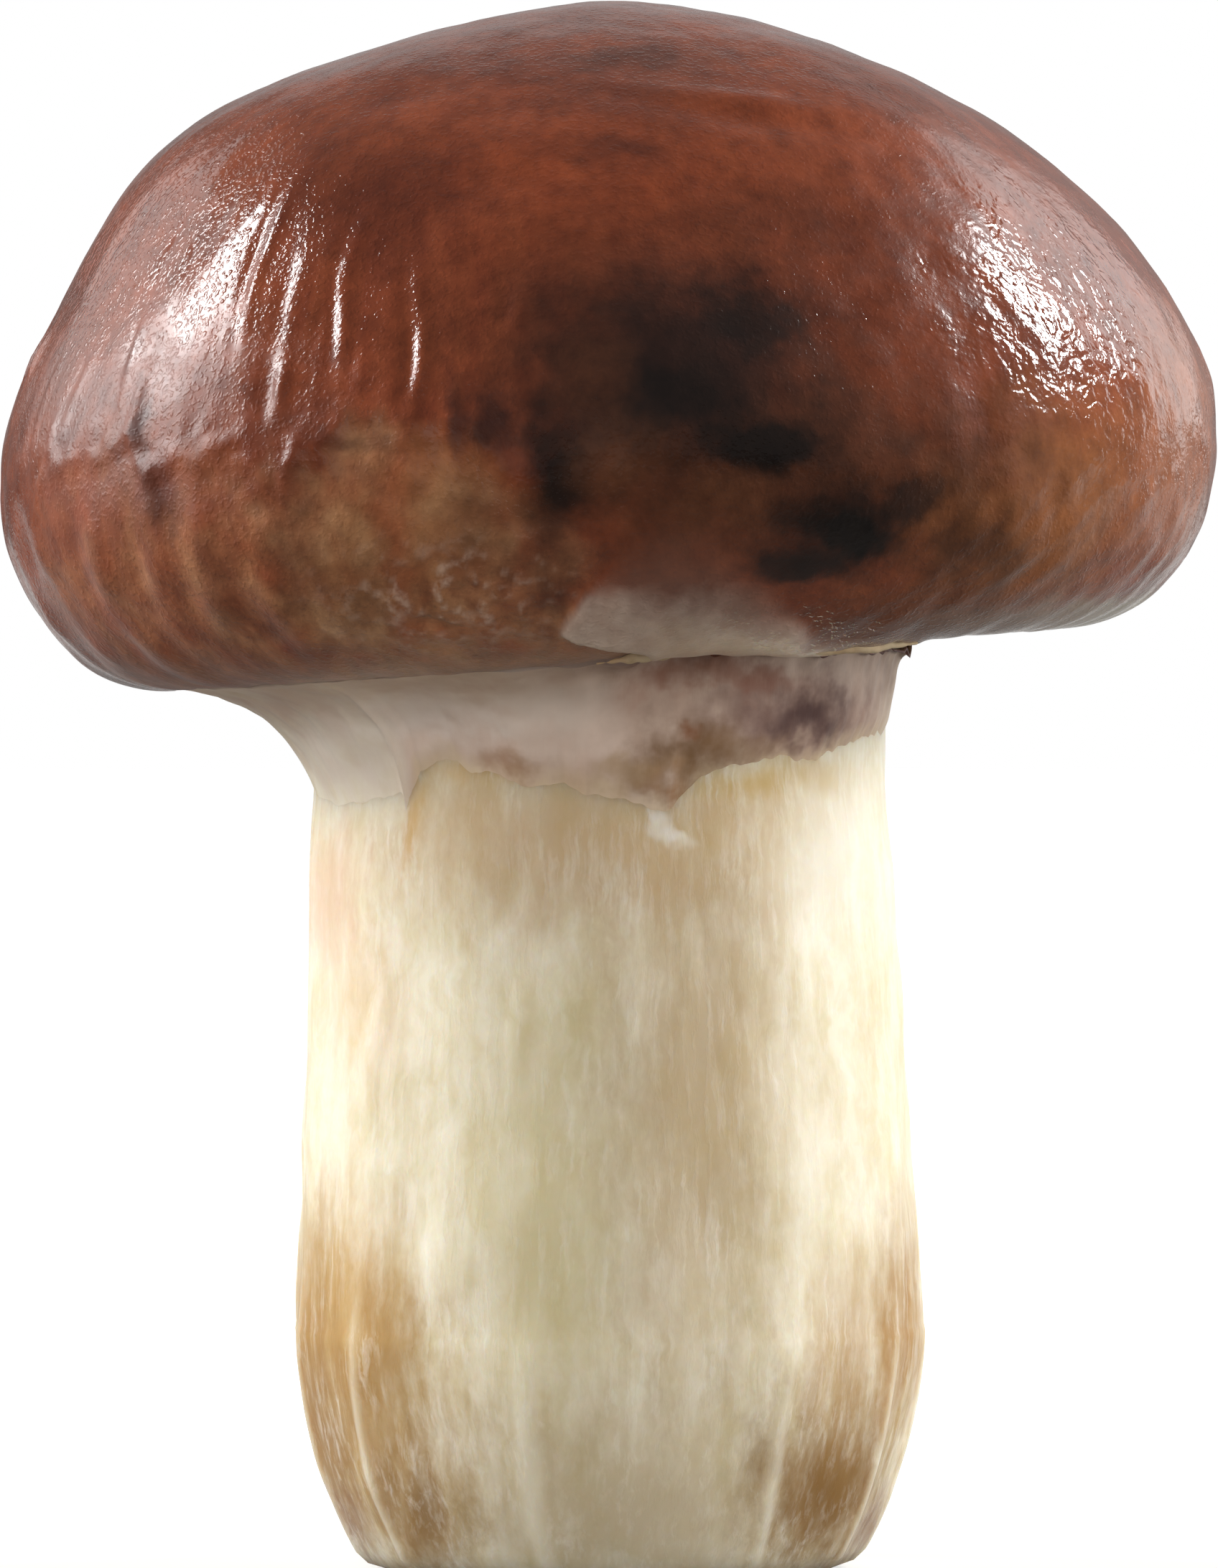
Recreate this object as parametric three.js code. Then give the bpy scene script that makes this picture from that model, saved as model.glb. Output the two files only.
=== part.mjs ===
// A young slippery-capped bolete, picked at the button stage. A brown dome with a rolled-in margin
// sits a little askew on a thick cream stem that was peeled with a knife and cut flat at the foot.
// A pale veil still joins the margin to the stem all round but on the right, where it has torn
// free and shrunk back to a collar, so that the layer of tubes shows under the cap.
//
// Millimetres, +Z up. The origin is the middle of the cut foot, -Y is the front and +X the right.
// Angles run anticlockwise seen from above, from +X: the front is at -90 degrees, the left at 180.

import * as THREE from "three";
import { mergeVertices } from "three/addons/utils/BufferGeometryUtils.js";

// Cap, in a frame of its own whose origin is the middle of the widest ring
const CAP_RADIUS = 25;
const CAP_CENTRE_HEIGHT = 45;
const CAP_TILT = THREE.MathUtils.degToRad(4); // the left side hangs lower
const DOME_HEIGHT = 19.2;
const DOME_FLANK = 0.65; // how far the dome's flanks are drawn in from an ellipse
const CROWN_LEAN = -1.5; // the crown leans to the left
const LIP_DROP = 7.6; // from the widest ring down to the lip of the margin
const LIP_RADIUS = 18.5; // ring of the lip's lowest points
const LIP_INROLL = 0.9; // how far the lip rolls in past that ring
const LIP_INNER_RISE = 1.6;
const FLESH_BOTTOM = -1.6; // flat ceiling under the dome, which the stem and the tubes grow from
const RECESS_RADIUS = 17.9;

// Relief of the cap skin
const LOBE_SHARE = 0.008; // how far the plan is from a circle
const FURROW_COUNT = 26;
const FURROW_DEPTH = 0.22;
const FURROW_SIDE = THREE.MathUtils.degToRad(-150); // furrows are deepest on the front left
const FURROW_SPREAD = 1.1;
const LUMP_HEIGHT = 0.16;
const FLAP_HEIGHT = 0.45; // scrap of veil stuck to the front of the margin
const FLAP_CENTRE = new THREE.Vector2(2.6, -5.6); // across and up from the widest ring
const FLAP_REACH = new THREE.Vector2(4.6, 2.2);

// Stem
const STEM_TOP = 42.4;
const STEM_BELLY_RADIUS = 13;
const STEM_BELLY_HEIGHT = 10;
const STEM_NECK_RADIUS = 12;
const STEM_NECK_HEIGHT = 31;
const STEM_LEAN = -0.35; // the neck stands a little to the left of the foot
const FOOT_FLAT_RADIUS = 9.3;
const FOOT_EDGE_HEIGHT = 0.7;
const FOOT_TAPER = 2.9; // how much slimmer the stem is at the foot's edge than at its belly
const STEM_RIDGE_COUNT = 13;
const STEM_RIDGE_HEIGHT = 0.12;
const PEEL_STRIPS = 11; // flats that the knife left, side by side
const PEEL_BITE = 0.3; // depth of a flat's middle below the round stem

// Veil
const VEIL_THICKNESS = 0.8;
const VEIL_GAP = 0.3; // from its neighbours
const VEIL_FOOT_HEIGHT = 32; // where its lower edge lies on the stem, on average
const VEIL_FOOT_DROP = 2.2; // lower on the left, higher on the right
const VEIL_EDGE_RADIUS = 17.1; // its upper edge, just inside the lip
const VEIL_EDGE_HEIGHT = -6.75; // in the cap's frame
const VEIL_FOLD_COUNT = 17;
const VEIL_FOLD_HEIGHT = 0.16;
const TEAR_MIDDLE = THREE.MathUtils.degToRad(-15);
const TEAR_HALF_WIDTH = THREE.MathUtils.degToRad(74);
const TEAR_BLEND = THREE.MathUtils.degToRad(34);
const COLLAR_RADIUS = 12.05; // where the torn veil clings to the stem
const COLLAR_TOP = 38.4;

// Tube layer, in the cap's frame
const TUBE_INNER_RADIUS = 12.6;
const TUBE_OUTER_RADIUS = 17.25;
const TUBE_TOP = FLESH_BOTTOM - 0.3;
const TUBE_FACE = -5.1;
const TUBE_FACE_CROWN = 0.5; // the pore face bulges down in the middle
const PORE_RINGS = 8;
const PORE_DEPTH = 0.45;

// Fineness of the facets
const CAP_SEGMENTS = 96;
const DOME_STEPS = 13;
const ROLL_STEPS = 8;
const STEM_SEGMENTS = 66;
const STEM_STEPS = 13;
const WRAPPED_STEPS = 4;
const VEIL_SEGMENTS = 84;
const VEIL_STEPS = 6;
const TUBE_SEGMENTS = 96;

const { smoothstep, lerp } = THREE.MathUtils;
const turnsFrom = (angle, middle) => Math.atan2(Math.sin(angle - middle), Math.cos(angle - middle));
const hump = (x) => Math.exp(-x * x);

// A solid turned about Z. The outline is a list of (radius, height) points, and place(point, angle, index)
// says where an outline's point stands at that angle.
function turned(outline, segments, place) {
  const geometry = new THREE.LatheGeometry(outline, segments);
  const position = geometry.getAttribute("position");
  const front = -Math.PI / 2;
  for (let i = 0; i < position.count; i++) {
    const index = i % outline.length;
    const step = Math.floor(i / outline.length) % segments;
    const angle = front + (step / segments) * 2 * Math.PI;
    position.setXYZ(i, ...place(outline[index], angle, index));
  }
  geometry.deleteAttribute("normal");
  geometry.deleteAttribute("uv");
  return withoutSlivers(mergeVertices(geometry, 1e-4));
}

// The poles of a turned solid leave triangles with two corners in one place, which are dropped.
function withoutSlivers(geometry) {
  const corners = geometry.index.array;
  const kept = [];
  for (let i = 0; i < corners.length; i += 3) {
    const [a, b, c] = corners.slice(i, i + 3);
    if (a !== b && b !== c && c !== a) kept.push(a, b, c);
  }
  geometry.setIndex(kept);
  return geometry;
}

const ring = (radius, angle, height) => [radius * Math.cos(angle), radius * Math.sin(angle), height];

// A quarter of an ellipse as outline points, from one angle of it to another.
function arc(centreX, centreY, reachX, reachY, from, to, steps) {
  const curve = new THREE.EllipseCurve(centreX, centreY, reachX, reachY, from, to, to < from);
  return curve.getPoints(steps);
}

// Height in the part's frame of a point of the cap's frame.
const lifted = (x, height) => CAP_CENTRE_HEIGHT + height * Math.cos(CAP_TILT) + x * Math.sin(CAP_TILT);

// How far the veil still holds on to the margin: 1 where it is whole, 0 where it is torn.
function veilHold(angle) {
  const off = Math.abs(turnsFrom(angle, TEAR_MIDDLE));
  return smoothstep(off, TEAR_HALF_WIDTH - TEAR_BLEND / 2, TEAR_HALF_WIDTH + TEAR_BLEND / 2);
}

const veilFoot = (angle) => VEIL_FOOT_HEIGHT + VEIL_FOOT_DROP * Math.cos(angle) + 0.5 * Math.sin(3 * angle);

// Relief of the cap skin, outwards, at a point of the cap's frame.
function capRelief(x, y, z, angle) {
  const up = z / DOME_HEIGHT;
  const belt = smoothstep(z, -LIP_DROP, -LIP_DROP / 2) * (1 - smoothstep(up, 0.25, 0.75));
  const side = 0.3 + 0.7 * hump(turnsFrom(angle, FURROW_SIDE) / FURROW_SPREAD);
  const furrow = FURROW_DEPTH * belt * side * Math.cos(FURROW_COUNT * angle + 1.4 * Math.sin(3 * angle));
  const lump = LUMP_HEIGHT * (Math.sin(0.31 * x + 0.9) * Math.cos(0.27 * y) + Math.sin(0.36 * z + 0.23 * x));
  const across = (x - FLAP_CENTRE.x) / FLAP_REACH.x;
  const along = (z - FLAP_CENTRE.y) / FLAP_REACH.y;
  const flap = y < 0 ? FLAP_HEIGHT * hump(across ** 4 + along ** 4) : 0;
  return furrow + lump * smoothstep(z, -LIP_DROP, 0) + flap;
}

// Cap: the dome, its rolled-in margin and the flesh under it.
function capGeometry() {
  const innerRoll = arc(
    LIP_RADIUS, LIP_INNER_RISE - LIP_DROP, LIP_INROLL, LIP_INNER_RISE, Math.PI, 1.5 * Math.PI, 3);
  const outerRoll = arc(LIP_RADIUS, 0, CAP_RADIUS - LIP_RADIUS, LIP_DROP, -Math.PI / 2, 0, ROLL_STEPS);
  const dome = arc(0, 0, CAP_RADIUS, DOME_HEIGHT, 0, Math.PI / 2, DOME_STEPS);
  dome.at(-1).x = 0;
  const outline = [
    new THREE.Vector2(0, FLESH_BOTTOM),
    new THREE.Vector2(RECESS_RADIUS / 2, FLESH_BOTTOM),
    new THREE.Vector2(RECESS_RADIUS, FLESH_BOTTOM),
    ...innerRoll,
    ...outerRoll.slice(1),
    ...dome.slice(1),
  ];
  const skinStart = 3 + innerRoll.length;
  return turned(outline, CAP_SEGMENTS, (point, angle, index) => {
    if (index < skinStart) return ring(point.x, angle, point.y);
    const lobes = Math.sin(2 * angle) + 0.6 * Math.sin(3 * angle + 0.5);
    const share = point.x / CAP_RADIUS;
    const [x, y, z] = ring(point.x * (1 + LOBE_SHARE * lobes), angle, point.y);
    const relief = capRelief(x, y, z, angle);
    const rise = Math.max(z / DOME_HEIGHT, 0);
    const flank = DOME_FLANK * Math.sin(Math.PI * rise) ** 2;
    const out = ring(relief * share - flank, angle, relief * rise);
    return [x + out[0] + CROWN_LEAN * rise ** 1.6, y + out[1], z + out[2]];
  });
}

// Radius of the stem, before the knife and the veil, at a height.
function stemRadius(height) {
  if (height < STEM_BELLY_HEIGHT) {
    return STEM_BELLY_RADIUS - FOOT_TAPER * (1 - height / STEM_BELLY_HEIGHT) ** 2;
  }
  const climb = smoothstep(height, STEM_BELLY_HEIGHT - 4, STEM_NECK_HEIGHT);
  return lerp(STEM_BELLY_RADIUS, STEM_NECK_RADIUS, climb);
}

const stemLean = (height) => STEM_LEAN * smoothstep(height, STEM_BELLY_HEIGHT, STEM_NECK_HEIGHT);

// Flats left by the knife: each strip is cut straight across, so it is deepest in its middle.
function peelDepth(angle) {
  const strip = (angle / (2 * Math.PI)) * PEEL_STRIPS + 0.35 * Math.sin(2 * angle);
  const across = 2 * (strip - Math.floor(strip)) - 1;
  return PEEL_BITE * (1 - across * across);
}

// Stem: cut flat at the foot, peeled below the veil, slimmer by the veil's wall where the veil wraps it.
function stemGeometry() {
  const inset = VEIL_THICKNESS + VEIL_GAP;
  const shoulder = VEIL_FOOT_HEIGHT - VEIL_GAP;
  const outline = [new THREE.Vector2(0, 0), new THREE.Vector2(FOOT_FLAT_RADIUS, 0)];
  for (let i = 0; i <= STEM_STEPS; i++) {
    const height = lerp(FOOT_EDGE_HEIGHT, shoulder - 0.3, i / STEM_STEPS);
    outline.push(new THREE.Vector2(stemRadius(height), height));
  }
  for (let i = 0; i <= WRAPPED_STEPS; i++) {
    const height = lerp(shoulder, STEM_TOP, i / WRAPPED_STEPS);
    outline.push(new THREE.Vector2(stemRadius(height) - inset, height));
  }
  outline.push(new THREE.Vector2(0, STEM_TOP));
  return turned(outline, STEM_SEGMENTS, ({ x: radius, y: height }, angle) => {
    const below = height / shoulder;
    const above = (STEM_TOP - height) / (STEM_TOP - shoulder);
    const shift = (veilFoot(angle) - VEIL_FOOT_HEIGHT) * Math.min(below, above);
    const bare = 1 - smoothstep(below, 0.9, 0.98);
    const ridge = STEM_RIDGE_HEIGHT * Math.sin(STEM_RIDGE_COUNT * angle + 0.08 * height);
    const share = radius / STEM_BELLY_RADIUS;
    const cut = radius - share * bare * (peelDepth(angle) - ridge);
    const tilt = cut * Math.cos(angle) * Math.sin(CAP_TILT) * smoothstep(height, shoulder, STEM_TOP);
    const [x, y, z] = ring(cut, angle, height + shift + tilt);
    return [x + stemLean(z), y, z];
  });
}

// The veil's middle line at an angle, from its foot on the stem to its upper edge.
function veilLine(angle) {
  const hold = veilHold(angle);
  const foot = veilFoot(angle);
  const wall = VEIL_THICKNESS / 2;
  const start = new THREE.Vector2(stemRadius(foot) - wall, foot);
  const edge = lifted(VEIL_EDGE_RADIUS * Math.cos(angle), VEIL_EDGE_HEIGHT);
  const end = new THREE.Vector2(
    lerp(COLLAR_RADIUS, VEIL_EDGE_RADIUS, hold), lerp(COLLAR_TOP, edge, hold));
  const bend = new THREE.Vector2(
    lerp(COLLAR_RADIUS - 0.5, start.x + 1.1, hold), lerp(foot + 2.4, lerp(foot, edge, 0.82), hold));
  return new THREE.QuadraticBezierCurve(start, bend, end);
}

// Veil: a thin skin from the stem to the lip, puckered where it is stretched.
function veilGeometry() {
  const outline = [];
  for (let i = 0; i <= VEIL_STEPS; i++) outline.push(new THREE.Vector2(1, i / VEIL_STEPS));
  for (let i = VEIL_STEPS; i >= 0; i--) outline.push(new THREE.Vector2(-1, i / VEIL_STEPS));
  outline.push(outline[0].clone());
  return turned(outline, VEIL_SEGMENTS, ({ x: face, y: along }, angle) => {
    const line = veilLine(angle);
    const middle = line.getPoint(along);
    const run = line.getTangent(along);
    const fold = Math.sin(VEIL_FOLD_COUNT * angle + 2 * Math.sin(2 * angle));
    const pucker = VEIL_FOLD_HEIGHT * fold * Math.sin(Math.PI * along);
    const offset = (face * VEIL_THICKNESS) / 2 + pucker;
    const [x, y, z] = ring(middle.x + run.y * offset, angle, middle.y - run.x * offset);
    return [x + stemLean(z) * (1 - along * veilHold(angle)), y, z];
  });
}

// Tube layer: a ring of packed tubes whose open mouths pit its lower face.
function tubeGeometry() {
  const outline = [
    new THREE.Vector2(TUBE_INNER_RADIUS, TUBE_TOP),
    new THREE.Vector2(TUBE_INNER_RADIUS, (TUBE_TOP + TUBE_FACE) / 2),
  ];
  const faceStart = outline.length;
  for (let i = 0; i <= PORE_RINGS; i++) {
    const radius = lerp(TUBE_INNER_RADIUS, TUBE_OUTER_RADIUS - 0.5, i / PORE_RINGS);
    const crown = TUBE_FACE_CROWN * Math.sin((Math.PI * i) / PORE_RINGS);
    outline.push(new THREE.Vector2(radius, TUBE_FACE - crown));
  }
  const faceEnd = outline.length - 1;
  outline.push(new THREE.Vector2(TUBE_OUTER_RADIUS, (TUBE_TOP + TUBE_FACE) / 2));
  outline.push(new THREE.Vector2(TUBE_OUTER_RADIUS, TUBE_TOP));
  outline.push(outline[0].clone());
  return turned(outline, TUBE_SEGMENTS, (point, angle, index) => {
    const step = Math.round(((angle + Math.PI / 2) / (2 * Math.PI)) * TUBE_SEGMENTS);
    const isPit = index > faceStart && index < faceEnd && (index + step) % 2 === 0;
    return ring(point.x, angle, point.y + (isPit ? PORE_DEPTH : 0));
  });
}

const finish = (color, roughness) => new THREE.MeshStandardMaterial({ color, roughness, metalness: 0 });

function piece(name, geometry, material) {
  const mesh = new THREE.Mesh(geometry, material);
  mesh.name = name;
  return mesh;
}

const mushroom = new THREE.Group();
const cap = new THREE.Group();
cap.position.z = CAP_CENTRE_HEIGHT;
cap.rotation.y = -CAP_TILT;
cap.add(piece("cap", capGeometry(), finish(0x6b3520, 0.25)));
cap.add(piece("tube_layer", tubeGeometry(), finish(0xe0c878, 0.8)));
mushroom.add(cap);
mushroom.add(piece("veil", veilGeometry(), finish(0xcdb9a6, 0.6)));
mushroom.add(piece("stem", stemGeometry(), finish(0xe8dcb8, 0.55)));

export default mushroom;
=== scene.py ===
# %% [markdown]
# # A young bolete, dressed from its solids
# The packed solids give the mushroom its four organs and their sizes: cap, tube layer, veil and stem.
# This lesson makes a finer mesh for each of them on the same outlines, adds what the solids leave out,
# such as pores, fibres and a torn scrap of veil, and paints everything with procedural materials.
# Lengths are millimetres, because that is how one measures a mushroom. They turn into metres
# only when a mesh or a material is made.

# %% Load the frame
import math
import random

import bmesh
import bpy
import numpy as np
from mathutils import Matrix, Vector, noise


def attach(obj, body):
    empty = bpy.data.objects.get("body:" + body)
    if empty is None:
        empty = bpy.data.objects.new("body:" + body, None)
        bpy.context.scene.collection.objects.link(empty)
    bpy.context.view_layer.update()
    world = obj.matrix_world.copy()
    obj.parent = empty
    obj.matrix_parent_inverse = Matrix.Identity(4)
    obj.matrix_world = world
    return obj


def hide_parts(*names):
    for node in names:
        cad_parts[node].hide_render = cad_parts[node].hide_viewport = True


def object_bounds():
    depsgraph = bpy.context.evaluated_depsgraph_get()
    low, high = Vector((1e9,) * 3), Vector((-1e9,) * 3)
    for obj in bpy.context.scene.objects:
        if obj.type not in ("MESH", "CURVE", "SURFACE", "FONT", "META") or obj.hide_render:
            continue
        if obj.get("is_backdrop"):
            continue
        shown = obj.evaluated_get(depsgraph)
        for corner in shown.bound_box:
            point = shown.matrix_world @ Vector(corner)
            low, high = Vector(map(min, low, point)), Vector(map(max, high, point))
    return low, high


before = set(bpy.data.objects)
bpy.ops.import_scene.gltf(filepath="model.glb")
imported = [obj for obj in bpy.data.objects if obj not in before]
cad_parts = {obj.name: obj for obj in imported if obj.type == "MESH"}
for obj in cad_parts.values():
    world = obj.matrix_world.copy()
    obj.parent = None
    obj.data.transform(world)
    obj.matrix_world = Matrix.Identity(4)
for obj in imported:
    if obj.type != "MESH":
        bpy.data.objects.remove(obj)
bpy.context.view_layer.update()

MM = 0.001

# %% [markdown]
# ## Shaping tools
# All four organs are turned shapes: an outline is swept round the stem's axis and then pushed about.
# Blender's Spin and Screw could sweep an outline, but here every point needs its own push, so the points
# are worked out as one grid with numpy: a row for each outline point and a column for each angle.
# A second set of helpers turns such a grid into a closed mesh and measures it.

# %% Numbers into shapes
def smooth(x, low, high):
    """0 below low, 1 above high and an even S between them."""
    t = np.clip((x - low) / (high - low), 0, 1)
    return t * t * (3 - 2 * t)


def mix(a, b, share):
    return a + (b - a) * share


def hump(x):
    return np.exp(-x * x)


def off_from(angle, middle):
    """Signed angle from the middle, the short way round."""
    return np.arctan2(np.sin(angle - middle), np.cos(angle - middle))


def lumps(points, size, seed=0):
    """Smooth noise between about -1 and 1, with lumps of that size, at each of the points."""
    flat = (points.reshape(-1, 3) / size + 19.7 * seed).tolist()
    return np.fromiter(map(noise.noise, flat), float, len(flat)).reshape(points.shape[:-1])


def arc(centre, reach, start, end, steps=40):
    angle = np.radians(np.linspace(start, end, steps))
    return np.stack([centre[0] + reach[0] * np.cos(angle), centre[1] + reach[1] * np.sin(angle)], -1)


def spread(outline, fine_count, fine_until, count):
    """Points along an outline of (radius, height) points, at small even steps up to a distance and at
    larger even steps from there on, with the distance of each from the start."""
    step = np.linalg.norm(np.diff(outline, axis=0), axis=1)
    run = np.concatenate([[0], np.cumsum(step)])
    fine_steps = np.linspace(0, fine_until, fine_count, endpoint=False)
    at = np.concatenate([fine_steps, np.linspace(fine_until, run[-1], count)])
    return np.stack([np.interp(at, run, outline[:, i]) for i in (0, 1)], -1), at


def outline_normals(outline):
    """Unit normals of an outline that is walked from the foot up, pointing away from the axis."""
    run = np.gradient(outline, axis=0)
    run /= np.linalg.norm(run, axis=1)[:, None]
    return np.stack([run[:, 1], -run[:, 0]], -1)


def ring_angles(count):
    return np.linspace(-math.pi, math.pi, count, endpoint=False)


def turned(radius, angle, height):
    """Points at those radii and heights, turned round the axis to those angles."""
    radius, angle, height = np.broadcast_arrays(radius, angle, height)
    return np.stack([radius * np.cos(angle), radius * np.sin(angle), height], -1)


print("half of an S:", smooth(0.5, 0, 1), "- one lump:", lumps(np.ones((1, 3)), 0.7).round(3))

# %% Points into meshes
def turned_mesh(name, grid, closed=False, around=True, **marks):
    """A piece from a grid of points. closed joins the last row to the first, around the last column.
    Each mark is a number for every point, kept on the mesh as an attribute for the materials."""
    rows, columns = grid.shape[:2]
    index = np.arange(rows * columns).reshape(rows, columns)
    low, high = (index, np.roll(index, -1, 0)) if closed else (index[:-1], index[1:])
    faces = np.stack([low, np.roll(low, -1, 1), np.roll(high, -1, 1), high], -1)
    faces = (faces if around else faces[:, :-1]).reshape(-1, 4)
    mesh = bpy.data.meshes.new(name)
    mesh.from_pydata((grid.reshape(-1, 3) * MM).tolist(), [], faces.tolist())
    for mark, values in marks.items():
        values = np.ascontiguousarray(values, dtype=np.float32)
        kind = "FLOAT_VECTOR" if values.ndim == 3 else "FLOAT"
        field = "vector" if values.ndim == 3 else "value"
        mesh.attributes.new(mark, kind, "POINT").data.foreach_set(field, values.ravel())
    return finished(name, mesh)


def finished(name, mesh):
    """Closes seams and poles, points the faces outwards and returns the piece as an object."""
    work = bmesh.new()
    work.from_mesh(mesh)
    bmesh.ops.remove_doubles(work, verts=work.verts, dist=1e-7)
    bmesh.ops.recalc_face_normals(work, faces=work.faces)
    if work.calc_volume(signed=True) < 0:
        bmesh.ops.reverse_faces(work, faces=work.faces)
    work.to_mesh(mesh)
    work.free()
    mesh.shade_smooth()
    piece = bpy.data.objects.new(name, mesh)
    bpy.context.scene.collection.objects.link(piece)
    return piece


def measured(piece):
    corners = np.array([v.co[:] for v in piece.data.vertices]) / MM
    triangles = sum(len(p.vertices) - 2 for p in piece.data.polygons)
    print(f"{piece.name}: {triangles} triangles, {corners.min(0).round(2)} to {corners.max(0).round(2)} mm")


print("grids of points become meshes at", MM, "m to the millimetre")

# %% [markdown]
# ## Cap
# A dome with a rolled-in margin, a little askew on the stem. Its slimy skin is not smooth: folds run down
# the front left, the slime ends there in an edge with drips, the margin is wrinkled, and a scrap of veil is
# stuck to the front. It could be sculpted by hand, but then nobody could change it later. Here each feature
# is a pattern of its own, a few tenths of a millimetre high, and their sum pushes the skin out, because wet
# skin shows each fold as a line of light and a bump in the material alone would leave the outline smooth.

# %% Cap sizes
CAP_RADIUS = 25
CAP_HEIGHT = 45
CAP_TILT = math.radians(4)
DOME_HEIGHT = 19.2
DOME_FLANK = 0.65
CROWN_LEAN = -1.5
LIP_DROP = 7.6
LIP_RADIUS = 18.5
LIP_INROLL = 0.9
LIP_INNER_RISE = 1.6
FLESH_BOTTOM = -1.6
RECESS_RADIUS = 17.9
LOBE_SHARE = 0.008
CAP_COLUMNS = 720
CAP_FINE_ROWS, CAP_FINE_RUN, CAP_UPPER_ROWS = 64, 16, 62
LIFT_HEIGHT, LIFT_MIDDLE, LIFT_WIDTH = 0.45, 3.4, 3.6
print("cap:", 2 * CAP_RADIUS, "mm wide, tilted by", round(math.degrees(CAP_TILT)), "degrees")

# %% Smooth cap
def lifted(points):
    """From the cap's own frame to the part's."""
    x, y, z = np.moveaxis(points, -1, 0)
    sine, cosine = math.sin(CAP_TILT), math.cos(CAP_TILT)
    return np.stack([x * cosine - z * sine, y, CAP_HEIGHT + x * sine + z * cosine], -1)


def lip_lift(x, height):
    """How far the lip is drawn up on the front, under the scrap of veil."""
    return LIFT_HEIGHT * hump((x - LIFT_MIDDLE) / LIFT_WIDTH) * (1 - smooth(height, -7, -4))


def cap_surface(angle, outline):
    """Points of the smooth cap in its own frame, for rows of outline points and columns of angles."""
    radius, height = outline[:, :1], outline[:, 1:]
    lobes = np.sin(2 * angle) + 0.6 * np.sin(3 * angle + 0.5)
    rise = np.clip(height / DOME_HEIGHT, 0, 1)
    radius = radius * (1 + LOBE_SHARE * lobes) - DOME_FLANK * np.sin(math.pi * rise) ** 2
    x = radius * np.cos(angle) + CROWN_LEAN * rise**1.6
    return np.stack([x, radius * np.sin(angle), height + 0 * radius], -1)


skin_outline = np.concatenate([
    arc((LIP_RADIUS, LIP_INNER_RISE - LIP_DROP), (LIP_INROLL, LIP_INNER_RISE), 180, 270),
    arc((LIP_RADIUS, 0), (CAP_RADIUS - LIP_RADIUS, LIP_DROP), -90, 0)[1:],
    arc((0, 0), (CAP_RADIUS, DOME_HEIGHT), 0, 90, 90)[1:],
])
skin_outline[-1, 0] = 0
skin_rows, skin_run = spread(skin_outline, CAP_FINE_ROWS, CAP_FINE_RUN, CAP_UPPER_ROWS)
skin_radius, skin_height = skin_rows[:, :1], skin_rows[:, 1:]
# Two columns in three lie on the front, where the finest folds are.
cap_angle = np.concatenate([ring_angles(CAP_COLUMNS * 4 // 3)[:CAP_COLUMNS * 2 // 3],
                            ring_angles(CAP_COLUMNS * 2 // 3)[CAP_COLUMNS // 3:]])[None, :]
smooth_skin = cap_surface(cap_angle, skin_rows)
skin_place = lifted(smooth_skin)
skin_x, skin_z = skin_place[..., 0], skin_place[..., 2]
on_front = smooth_skin[..., 1] < 0
# The same points with the dome unrolled: round the ring and then up along the outline.
meridian = turned(CAP_RADIUS, cap_angle, skin_run[:, None])
print("smooth cap:", skin_place.min((0, 1)).round(1), "to", skin_place.max((0, 1)).round(1), "mm")

# %% [markdown]
# ### Folds
# The slime slides down the dome and gathers in folds. Each is a ridge with a groove beside it, and a noise
# along its length breaks it up, so that no two look alike. The ones on the front are listed one by one.

# %% Folds of the slime
# Angle in degrees, lowest and highest point above the widest ring, height and half width of the folds on
# the front left. Those at the back are drawn at random.
FRONT_FOLDS = [
    (-142.5, 4, 9.5, 0.12, 0.28), (-158, 2, 6, 0.1, 0.4), (-152, 2.5, 7, 0.07, 0.3),
    (-126, 6, 12.5, 0.17, 0.36), (-121.2, 3.6, 8.6, 0.22, 0.42), (-118, 4, 8, 0.07, 0.22),
    (-114.8, 5, 10, 0.15, 0.36), (-112.4, 4, 7, 0.07, 0.25), (-107.6, 3, 9, 0.18, 0.34),
    (-103, 2, 6, 0.08, 0.35), (-97, 2, 9, 0.1, 0.4), (-121.6, 3.4, 8.0, 0.2, 0.36),
    (-146, -6, 0, 0.24, 1.0), (-131, -5, 1, 0.22, 0.9), (-158, -6, 1, 0.26, 1.1),
    (-124, -6, 1, 0.18, 0.9), (-138.5, -5, -1, 0.16, 0.7), (-167, -6, 1.5, 0.22, 1.0),
]
BACK_FOLDS = 26
dice = random.Random(11)
FOLDS = FRONT_FOLDS + [
    (dice.uniform(25, 195), dice.uniform(-5, 3), dice.uniform(5, 12), dice.uniform(0.08, 0.24),
     dice.uniform(0.35, 0.7)) for _ in range(BACK_FOLDS)
]


def fold_relief(angle, height, radius):
    """A ridge with a groove on its left for every fold, broken up along its length."""
    relief = np.zeros(np.broadcast(angle, height).shape)
    for number, (middle, low, high, tall, wide) in enumerate(FOLDS):
        beat = np.array([noise.noise((h / 1.9, 7.3 * number, 0)) for h in height.ravel()])[:, None]
        wander = 0.014 * np.sin(0.6 * height + 2.1 * number) + 0.012 * beat
        across = off_from(angle, math.radians(middle) + wander) * radius / wide
        length = smooth(height, low - 1.5, low + 1.5) * (1 - smooth(height, high - 3, high + 2))
        strength = np.clip(0.45 + 1.3 * beat, 0, 1)
        relief += tall * length * strength * (hump(across) - 0.7 * hump(across + 1.6))
    return relief


folds = fold_relief(cap_angle, skin_height, np.maximum(skin_radius, 4))
print(len(FOLDS), "folds, up to", folds.max().round(2), "mm high and", -folds.min().round(2), "deep")

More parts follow.
